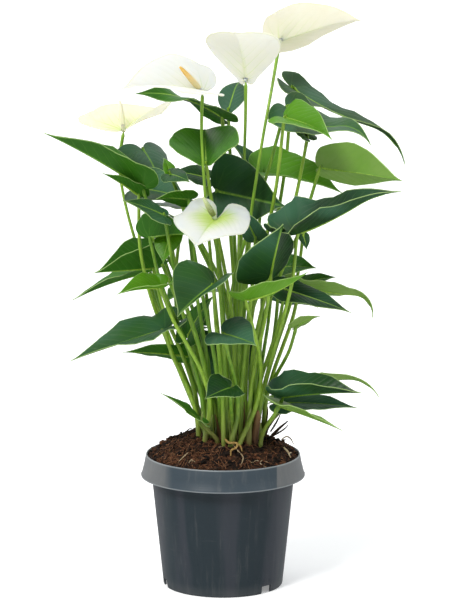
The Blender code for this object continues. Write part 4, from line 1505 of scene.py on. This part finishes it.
@dataclass
class StemRouter:
    """Finds where each stem leaves the soil and the way that it takes to its blade.

    It leans stems aside as little as brings them clear of each other and of other shoots' blades.
    """

    soil: Soil
    pot_height: float = 155.0
    clump_centre: tuple[float, float] = (13.0, 0.0)
    low_draw_in: float = 0.60
    high_draw_in: float = 0.22
    tall: float = 400.0
    clump_radius: float = 45.0
    root_spacing: float = 9.4
    root_depth: float = 11.0
    upright: float = 3.0
    leaf_neck: float = 0.35
    bloom_neck: float = 60.0
    stations: int = 6
    base_radius: float = 2.3
    wanted_room: float = 1.2
    least_room: float = 0.5
    rounds: int = 4
    sample_step: float = 4.0
    height_step: float = 4.0
    top_height: float = 660.0
    lean_reaches: tuple[float, ...] = (6.0, 12.0, 19.0, 27.0, 36.0, 46.0, 57.0, 69.0)
    lean_turns: int = 12
    outward: float = 0.35
    rise_share: float = 0.45
    lean_share: float = 0.4
    large_leaf: float = 90.0
    blade_thickness: float = 1.0

    def root_place(self, joint: Sequence) -> np.ndarray:
        """Find where a stem would leave the soil, nearer the clump's edge for a lower leaf.

        Args:
            joint: where it meets its blade.

        Returns:
            The place in the soil.
        """
        share = min(max((joint[2] - self.pot_height) / self.tall, 0.0), 1.0)
        draw_in = self.low_draw_in + (self.high_draw_in - self.low_draw_in) * share
        centre = np.array(self.clump_centre)
        return centre + draw_in * (np.array(joint[:2], float) - centre)

    def spread(self, wanted: Sequence) -> np.ndarray:
        """Push places in the clump apart until stems have room between them.

        Args:
            wanted: where each stem would leave the soil.

        Returns:
            Where each does.
        """
        roots = np.array(wanted, float)
        centre = np.array(self.clump_centre)
        for _ in range(200):
            for first in range(len(roots)):
                for second in range(first):
                    apart = roots[first] - roots[second]
                    distance = np.linalg.norm(apart)
                    if distance < self.root_spacing:
                        push = apart / max(distance, 0.01) * (self.root_spacing - distance) * 0.25
                        roots[first] += push
                        roots[second] -= push
            for root in roots:
                offset = root - centre
                distance = np.linalg.norm(offset)
                if distance > self.clump_radius:
                    root -= offset / distance * (distance - self.clump_radius)
        return np.round(roots, 1)

    def route(self, stem: Stem, aside: Sequence) -> np.ndarray:
        """Lead a stem on a curve: upright at the soil, led aside, then to its joint.

        Args:
            stem: the stem.
            aside: how far it leans aside, besides its blade's own lean.

        Returns:
            Its stations.
        """
        joint = np.array(stem.blade.joint, float)
        foot = np.array((*stem.root, self.soil.height(*stem.root)))
        rise = joint[2] - foot[2]
        lean = np.append(np.add(stem.blade.lean, aside), 0.0)
        handles = np.array((foot, foot + lean + (0.0, 0.0, self.rise_share * rise),
                            joint - stem.handle * stem.arrival + self.lean_share * lean, joint))
        t = np.linspace(0.0, 1.0, self.stations)[:, None]
        return ((1 - t) ** 3 * handles[0] + 3 * (1 - t) ** 2 * t * handles[1]
                + 3 * (1 - t) * t ** 2 * handles[2] + t ** 3 * handles[3])

    def leans(self) -> Iterator[tuple[float, float]]:
        """Give the ways that a stem may lean aside.

        Yields:
            How far it leans to the right and to the back, the least first.
        """
        yield 0.0, 0.0
        ways = [(math.cos(math.tau * turn / self.lean_turns), math.sin(math.tau * turn / self.lean_turns))
                for turn in range(self.lean_turns)]
        for reach in self.lean_reaches:
            for way in sorted(ways, key=lambda way: round(abs(way[0]), 3)):
                yield reach * way[0], reach * way[1]

    def at_heights(self, route: np.ndarray) -> np.ndarray:
        """Find a stem's places at the heights that all stems are compared at.

        Args:
            route: its stations.

        Returns:
            A place for each height, not a number where the stem doesn't reach.
        """
        heights = np.arange(self.pot_height, self.top_height, self.height_step)
        places = np.column_stack([np.interp(heights, route[:, 2], route[:, axis]) for axis in (0, 1)])
        places[(heights < route[0, 2]) | (heights > route[-1, 2] + self.height_step)] = np.nan
        return places

    def room(self, route: np.ndarray, shoot: int, others: list[np.ndarray], surfaces: BVHTree,
             owner: list[int]) -> float:
        """Return the room between a stem and what it could touch.

        Args:
            route: the stem's stations.
            shoot: the shoot that it belongs to.
            others: other shoots' stems at the common heights.
            surfaces: all blades' faces.
            owner: the shoot of each face.

        Returns:
            The room in millimetres, no more than is wanted.
        """
        room = self.wanted_room
        line = self.at_heights(route)
        for other in others:
            apart = np.linalg.norm(line - other, axis=1)
            if not np.all(np.isnan(apart)):
                room = min(room, float(np.nanmin(apart)) - 2 * self.base_radius)
        at = travelled(route)
        places = np.arange(0.0, at[-1], self.sample_step)
        points = np.column_stack([np.interp(places, at, route[:, axis]) for axis in range(3)])
        reach = self.base_radius + self.wanted_room
        for point in points:
            for _, _, face, distance in surfaces.find_nearest_range(Vector(point), reach):
                if owner[face] != shoot:
                    room = min(room, distance - self.base_radius - 0.5 * self.blade_thickness)
        return room

    def blade_faces(self, stems: list[Stem]) -> tuple[BVHTree, list[int]]:
        """Gather all blades' faces for the search.

        Args:
            stems: the stems that hold them.

        Returns:
            The faces, and the shoot of each.
        """
        corners, faces, owner = [], [], []
        for stem in stems:
            points, count, rings = stem.blade.coarse(self.large_leaf)
            first = len(corners)
            corners.extend(points)
            for ring in range(rings):
                for step in range(count - 1):
                    outer = first + 1 + ring * count + step
                    inner = outer - count if ring else first
                    faces.append((inner, outer, outer + 1))
                    if ring:
                        faces.append((inner, outer + 1, inner + 1))
            owner.extend([stem.shoot] * (len(faces) - len(owner)))
        return BVHTree.FromPolygons(corners, faces), owner

    def cleared(self, stems: list[Stem]) -> list[np.ndarray]:
        """Choose each stem's route, the lowest first, and take those with little room again.

        Args:
            stems: the stems.

        Returns:
            Each stem's stations.
        """
        surfaces, owner = self.blade_faces(stems)
        lines, routes, rooms = {}, {}, {}
        order = sorted(range(len(stems)), key=lambda number: stems[number].blade.joint[2])

        def others(shoot: int) -> list[np.ndarray]:
            """Return the lines of the stems of other shoots."""
            return [line for other, line in lines.items() if stems[other].shoot != shoot]

        for _ in range(self.rounds):
            for own in order:
                if rooms.get(own, -math.inf) >= self.least_room:
                    continue
                shoot = stems[own].shoot
                near, best_room = others(shoot), -math.inf
                for aside in self.leans():
                    route = self.route(stems[own], aside)
                    room = self.room(route, shoot, near, surfaces, owner)
                    if room > best_room:
                        routes[own], best_room = route, room
                    if room >= self.wanted_room:
                        break
                lines[own] = self.at_heights(routes[own])
            for own in order:
                shoot = stems[own].shoot
                rooms[own] = self.room(routes[own], shoot, others(shoot), surfaces, owner)
        return [routes[own] for own in range(len(stems))]

    def routes(self) -> list[list[np.ndarray]]:
        """Find every stem's way.

        Returns:
            Each shoot's and then each bloom's routes.
        """
        joints = [np.mean([leaf.joint for leaf in shoot], axis=0) for shoot in SHOOTS]
        joints += [bloom.spathe.joint for bloom in BLOOMS]
        roots = self.spread([self.root_place(joint) for joint in joints])
        centre = np.array(self.clump_centre)
        stems = []
        for number, shoot in enumerate(SHOOTS):
            for leaf in shoot:
                height = leaf.joint[2] - self.pot_height
                way = np.array((*(self.outward * (np.array(leaf.joint[:2], float) - centre)), height))
                stems.append(Stem(number, roots[number], leaf, unit(way), self.leaf_neck * height))
        for number, bloom in enumerate(BLOOMS, start=len(SHOOTS)):
            stems.append(Stem(number, roots[number], bloom.spathe, unit(bloom.arrival), self.bloom_neck))
        groups: list[list[np.ndarray]] = [[] for _ in (*SHOOTS, *BLOOMS)]
        for stem, route in zip(stems, self.cleared(stems)):
            foot = route[0]
            groups[stem.shoot].append(np.vstack((foot - (0.0, 0.0, self.root_depth),
                                                 foot + (0.0, 0.0, self.upright), route[1:])))
        return groups


@dataclass
class Foliage:
    """All leaves on their stems, one piece for each leafy shoot, inside the solids' box."""

    box: Sequence
    half_steps: int = 26
    rings: int = 13
    thickness: float = 0.75
    ripple: float = 0.010
    stem_radii: tuple[float, ...] = (2.9, 2.8, 2.5, 2.35, 2.2, 2.1, 2.0, 1.9)
    neck_radii: tuple[float, ...] = (1.9, 2.2, 2.3, 1.9, 1.5)
    midrib_radii: tuple[float, ...] = (1.4, 1.0, 0.75, 0.5, 0.3)
    midrib_places: tuple[float, ...] = (0.04, 0.14, 0.30, 0.50, 0.70, 0.88)
    neck_length: float = 13.0
    tone_spread: float = 0.05
    ring_power: float = 0.85

    def sheet(self, name: str, blade: Blade, thickness: float, ripple: float) -> bpy.types.Object:
        """Model a blade as a grid round its joint, give it its thickness, and mark its flat shape.

        Args:
            name: the piece's name.
            blade: the blade's posture.
            thickness: its thickness.
            ripple: the height of the small waves at its edge.

        Returns:
            The blade, with its upper, lower and edge faces on three material slots.
        """
        edge = blade.outline(self.half_steps * 4)
        places = np.linspace(0.0, 1.0, len(edge))

        def flat(turn: np.ndarray, out: np.ndarray) -> np.ndarray:
            """Return points on the flat blade, its rings closer together at the edge."""
            rim = np.column_stack([np.interp(turn, places, edge[:, axis]) for axis in (0, 1)])
            return rim * (out ** self.ring_power)[:, None]

        sheet = shaped_grid(name, 2 * self.half_steps, self.rings,
                            lambda turn, out: blade.placed(flat(turn, out), ripple))
        chart = np.empty(2 * len(sheet.data.loops))
        sheet.data.uv_layers[POLAR].data.foreach_get("uv", chart)
        chart = chart.reshape(-1, 2)
        shape = flat(chart[:, 0], chart[:, 1])
        marks = np.column_stack(((shape[:, 0] - CHART_START) / CHART_SPAN, 0.5 + shape[:, 1] / blade.width))
        sheet.data.uv_layers.new(name=FLAT).data.foreach_set("uv", marks.ravel())
        return finished(sheet, ("SOLIDIFY", {"thickness": thickness * MM, "offset": 0.0, "material_offset": 1,
                                             "material_offset_rim": 2, "use_even_offset": False}))

    def stalk(self, name: str, route: np.ndarray, blade: Blade) -> bpy.types.Object:
        """Model a stem that swells below its joint and runs on as the blade's midrib.

        Args:
            name: the piece's name.
            route: the stem's stations.
            blade: the blade that it holds.

        Returns:
            The stalk.
        """
        path = np.vstack((route, blade.placed(np.array([(along, 0.0) for along in self.midrib_places]))))
        steps = np.linspace(0.0, 1.0, 200)
        reached = travelled(smooth_through(path, steps))
        joint = float(np.interp((len(route) - 1) / (len(path) - 1), steps, reached)) / reached[-1]
        neck = joint - self.neck_length / reached[-1]
        marks = np.concatenate((np.linspace(0.0, neck, len(self.stem_radii)),
                                np.linspace(neck, joint, len(self.neck_radii) + 1)[1:],
                                np.linspace(joint, 1.0, len(self.midrib_radii) + 1)[1:]))
        radii = self.stem_radii + self.neck_radii + self.midrib_radii
        return tube(name, path, np.interp(np.linspace(0.0, 1.0, 120), marks, radii), sides=10, rows=84)

    def built(self, groups: list[list[np.ndarray]]) -> list[bpy.types.Object]:
        """Model every leafy shoot.

        Args:
            groups: each shoot's routes.

        Returns:
            One piece for each shoot, in place of its solid.
        """
        faces = [LeafFinish(face).made() for face in Face]
        stem = StemFinish().made()
        shoots = []
        for number, (shoot, routes) in enumerate(zip(SHOOTS, groups), start=1):
            pieces = []
            for leaf, route in zip(shoot, routes):
                level = leaf.tone.value + self.tone_spread * math.sin(7.3 * number + leaf.joint[0])
                sheet = self.sheet(f"Blade_{number}", leaf, self.thickness, self.ripple)
                pieces.append(toned(dressed(sheet, *faces), level))
                shade = 0.5 + 0.5 * math.sin(12.9 * number + 0.7 * leaf.joint[0])
                pieces.append(toned(dressed(self.stalk(f"Stalk_{number}", route, leaf), stem), shade))
            whole = pressed_inside(joined(f"Leaf_{number:02d}", pieces), self.box)
            shoots.append(settled(whole, f"leaf_{number:02d}"))
        return shoots


@dataclass
class Flowers:
    """The five blooms: stems, spathes with a collar, and knobbed spadices."""

    foliage: Foliage
    thickness: float = 0.9
    ripple: float = 0.006
    hub_below: float = 2.0
    hub_above: float = 8.0
    stem_radii: tuple[float, ...] = (2.7, 2.6, 2.4, 2.2, 2.0, 1.8, 1.7, 1.7, 2.1)
    stem_tone: float = 0.55
    collar_radii: tuple[float, ...] = (1.6, 2.6, 2.6, 2.3, 2.2)
    spadix_radii: tuple[float, ...] = (2.5, 3.3, 3.4, 3.2, 2.9, 2.5, 2.0, 1.2)
    knob_turns: float = 9.0
    knob_rows: float = 15.0
    spikes: tuple[SpadixFinish, ...] = (
        SpadixFinish(Spike.YELLOW, (0.90, 0.78, 0.42), (0.90, 0.55, 0.10)),
        SpadixFinish(Spike.PALE, (0.85, 0.84, 0.55), (0.90, 0.87, 0.66)),
        SpadixFinish(Spike.GREEN, (0.20, 0.24, 0.06), (0.62, 0.68, 0.34)),
    )

    def spadix(self, name: str, base: np.ndarray, tip: np.ndarray) -> bpy.types.Object:
        """Model a spadix with rows of florets.

        Args:
            name: the piece's name.
            base: its foot.
            tip: its point.

        Returns:
            The spadix.
        """
        ahead = unit(tip - base)
        first = unit(np.cross(ahead, (0.0, 1.0, 0.2)))
        sides = first, np.cross(ahead, first)

        def shape(turn: np.ndarray, along: np.ndarray) -> np.ndarray:
            """Lay the grid round the spadix.

            Args:
                turn: the place round it, from 0 to 1.
                along: the place along it, from 0 to 1.

            Returns:
                Points on its knobbed skin.
            """
            knobs = np.abs(np.cos(math.pi * (self.knob_turns * turn + self.knob_rows * along))
                           * np.cos(math.pi * (self.knob_turns * turn - self.knob_rows * along)))
            radius = np.interp(along, np.linspace(0.0, 1.0, len(self.spadix_radii)), self.spadix_radii)
            centre = base + along[:, None] * (tip - base)
            return on_rod(centre, radius * (0.90 + 0.16 * knobs ** 0.6), turn, along, sides)

        return shaped_grid(name, 54, 96, shape, closed=True)

    def built(self, groups: list[list[np.ndarray]]) -> list[bpy.types.Object]:
        """Model every bloom.

        Args:
            groups: each bloom's route.

        Returns:
            Three pieces for each bloom, in place of its solids.
        """
        faces = [SpatheFinish(face).made() for face in Face]
        stem = StemFinish().made()
        spikes = {finish.spike: finish.made() for finish in self.spikes}
        made = []
        for number, (bloom, (route,)) in enumerate(zip(BLOOMS, groups), start=1):
            name = f"Flower_{number}"
            joint, tip = np.array(bloom.spathe.joint, float), np.array(bloom.spadix_tip, float)
            rise = unit(tip - joint)
            stalk = dressed(tube(f"{name}_stem", route, self.stem_radii, sides=12, rows=70), stem)
            sheet = self.foliage.sheet(f"{name}_sheet", bloom.spathe, self.thickness, self.ripple)
            hub = np.array((joint - rise * self.hub_below, joint, joint + rise * self.hub_above))
            collar = tube(f"{name}_collar", hub, self.collar_radii, sides=14, rows=12)
            spathe = joined(f"{name}_spathe", [dressed(sheet, *faces), dressed(collar, faces[0])])
            spadix = self.spadix(f"{name}_spadix", joint + rise * (self.hub_above - 1.0), tip)
            toned(stalk, self.stem_tone)
            toned(spathe, bloom.green)
            toned(spathe, bloom.ivory, CREAM_AND_SHADE)
            dressed(spadix, spikes[bloom.spike])
            for piece, part, slot in ((stalk, "stem", "leaf"), (spathe, "spathe", "spathe"),
                                      (spadix, "spadix", "spadix")):
                made.append(settled(pressed_inside(piece, self.foliage.box), f"flower_{number}_{part}"))
        return made


@dataclass
class StemFeet:
    """Sheaths round the feet of the stems, some dry and brown, some green."""

    thickness: float = 0.5
    depth: float = 6.0
    heights: tuple[float, float] = (16.0, 46.0)
    radii: tuple[float, float] = (3.4, 4.4)
    wraps: tuple[float, float] = (0.5, 0.9)
    brown_share: float = 0.55
    brown: SheathFinish = SheathFinish("Brown sheath", (0.080, 0.034, 0.014), (0.300, 0.170, 0.070))
    green: SheathFinish = SheathFinish("Green sheath", (0.160, 0.120, 0.030), (0.270, 0.380, 0.090))
    seed: int = 5

    def sheath(self, name: str, route: np.ndarray, high: float, radius: float, turn: float,
               open_by: float) -> bpy.types.Object:
        """Model a papery sheath that wraps a stem's foot and ends in a point.

        Args:
            name: the piece's name.
            route: the stem's stations.
            high: its height.
            radius: its radius at the foot.
            turn: the way that its point faces.
            open_by: how much of the stem it wraps.

        Returns:
            The sheath.
        """
        def shape(across: np.ndarray, up: np.ndarray) -> np.ndarray:
            """Lay the grid round the stem's foot.

            Args:
                across: the place across the sheath, from 0 to 1.
                up: the place up it, from 0 to 1.

            Returns:
                Points on the sheath.
            """
            height = route[1, 2] - self.depth + up * (high + self.depth)
            x, y = (np.interp(height, route[:, 2], route[:, axis]) for axis in (0, 1))
            spread = math.pi * open_by * (1.0 - 0.93 * up ** 1.6)
            angle = turn + (2.0 * across - 1.0) * spread
            out = radius * (1.0 - 0.35 * up) + 2.5 * up ** 3 + 0.3 * np.sin(9.0 * across + 4.0 * up)
            return np.column_stack((x + out * np.cos(angle), y + out * np.sin(angle), height))

        piece = shaped_grid(name, 14, 18, shape)
        return finished(piece, ("SOLIDIFY", {"thickness": self.thickness * MM, "offset": 1.0}))

    def built(self, groups: list[list[np.ndarray]]) -> list[bpy.types.Object]:
        """Model the sheaths.

        Args:
            groups: all stems' routes.

        Returns:
            Two pieces: the brown sheaths and the green ones.
        """
        source = random.Random(self.seed)
        brown, green = [], []
        for number, (route, *_) in enumerate(groups[::2]):
            high = source.uniform(*self.heights)
            kind = brown if source.random() < self.brown_share else green
            radius, turn, wrap = (source.uniform(*self.radii), source.uniform(0.0, math.tau),
                                  source.uniform(*self.wraps))
            kind.append(self.sheath(f"Sheath_{number}", route, high, radius, turn, wrap))
        return [settled(dressed(joined(name, sheaths), finish.made()))
                for name, sheaths, finish in (("Brown_sheaths", brown, self.brown),
                                              ("Green_sheaths", green, self.green))]


@dataclass
class Studio:
    """The pale floor, the soft light and the camera."""

    camera_place: Place = (0.0023, -3.6, 0.99)
    tilt_down: float = 10.3
    lens: float = 190.4
    floor_size: float = 60.0
    floor_colour: Colour = (0.92, 0.92, 0.92)
    floor_glow: float = 0.26
    room: float = 0.13
    paper: float = 0.65
    ceiling: float = 0.65
    backdrop: float = 0.95
    key: float = 2.1
    fill: float = 7.0
    middle: Place = (0.0, 0.0, 0.35)

    def floor(self) -> None:
        """Lay the floor."""
        clear_selection()
        bpy.ops.mesh.primitive_plane_add(size=self.floor_size)
        floor = bpy.context.object
        floor.name = "Floor"
        surface = Surface("Floor", Specular_IOR_Level=0.0)
        cloud = surface.noise(surface.place(), 3.0, 2.0)
        colour = surface.mix(cloud * 0.2, self.floor_colour, tuple(0.97 * part for part in self.floor_colour))
        surface.shader.inputs["Emission Color"].default_value = (1.0, 1.0, 1.0, 1.0)
        surface.shader.inputs["Emission Strength"].default_value = self.floor_glow
        floor.data.materials.append(surface.done(colour, 0.9))
        floor.visible_glossy = floor.visible_transmission = False
        floor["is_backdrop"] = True

    def lamp(self, name: str, kind: str, place: Place, energy: float, size: float, colour: Colour) -> None:
        """Hang a soft lamp that faces the middle of the plant.

        Args:
            name: its name.
            kind: its type.
            place: where it hangs.
            energy: its power.
            size: its width, or its angle for a sun.
            colour: its colour.
        """
        bpy.ops.object.light_add(type=kind, location=place)
        lamp = bpy.context.object
        lamp.name = name
        lamp.data.energy = energy
        lamp.data.color = colour
        if kind == "SUN":
            lamp.data.angle = math.radians(size)
        else:
            lamp.data.shape = "SQUARE"
            lamp.data.size = size
        lamp.rotation_euler = (Vector(self.middle) - Vector(place)).to_track_quat("-Z", "Y").to_euler()

    def air(self) -> None:
        """Fill the studio with light: white paper behind and above the plant, a dark room before it."""
        world = bpy.data.worlds.new("Studio air")
        world.use_nodes = True
        nodes = Nodes(world.node_tree)
        background = world.node_tree.nodes["Background"]
        way = nodes.node("ShaderNodeTexCoord", output="Generated")
        back, up = nodes.part(way, 1), nodes.part(way, 2)
        paper = back.above(-0.05, 0.20) * up.above(-0.6, 0.0)
        ceiling = up.above(0.35, 0.85)
        seen = nodes.node("ShaderNodeLightPath", output="Is Camera Ray")
        light = self.room + paper * self.paper + ceiling * self.ceiling
        strength = light * (1.0 - seen) + seen * self.backdrop
        world.node_tree.links.new(strength.socket, background.inputs["Strength"])
        background.inputs["Color"].default_value = (0.96, 0.98, 1.0, 1.0)
        bpy.context.scene.world = world

    def built(self) -> None:
        """Set up the floor, the lamps, the air and the camera."""
        clear_selection()
        bpy.ops.object.camera_add(location=self.camera_place,
                                  rotation=(math.radians(90.0 - self.tilt_down), 0.0, 0.0))
        camera = bpy.context.object
        camera.data.lens = self.lens
        camera.data.sensor_width = 36.0
        camera.data.clip_end = 200.0
        bpy.context.scene.camera = camera
        self.floor()
        self.lamp("Key", "SUN", (-1.0, -1.5, 2.2), self.key, 18.0, (1.0, 0.99, 0.97))
        self.lamp("Right_softbox", "AREA", (1.9, -1.2, 1.6), self.fill, 1.0, (0.94, 0.97, 1.0))
        self.air()
        bpy.context.scene.view_settings.view_transform = "Standard"


def main() -> None:
    """Load the frame and build the plant, the pot and the studio round it."""
    logging.basicConfig(level=logging.INFO, format="%(message)s")
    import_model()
    solid_box = [list(corner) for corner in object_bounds()]
    soil = Soil()
    Studio().built()
    groups = StemRouter(soil).routes()
    log.info("%d stems led", sum(len(routes) for routes in groups))
    Pot().built()
    soil.built()
    foliage = Foliage(solid_box)
    foliage.built(groups[:len(SHOOTS)])
    Flowers(foliage).built(groups[len(SHOOTS):])
    StemFeet().built(groups)
    clear_selection()


if __name__ == "__main__":
    main()
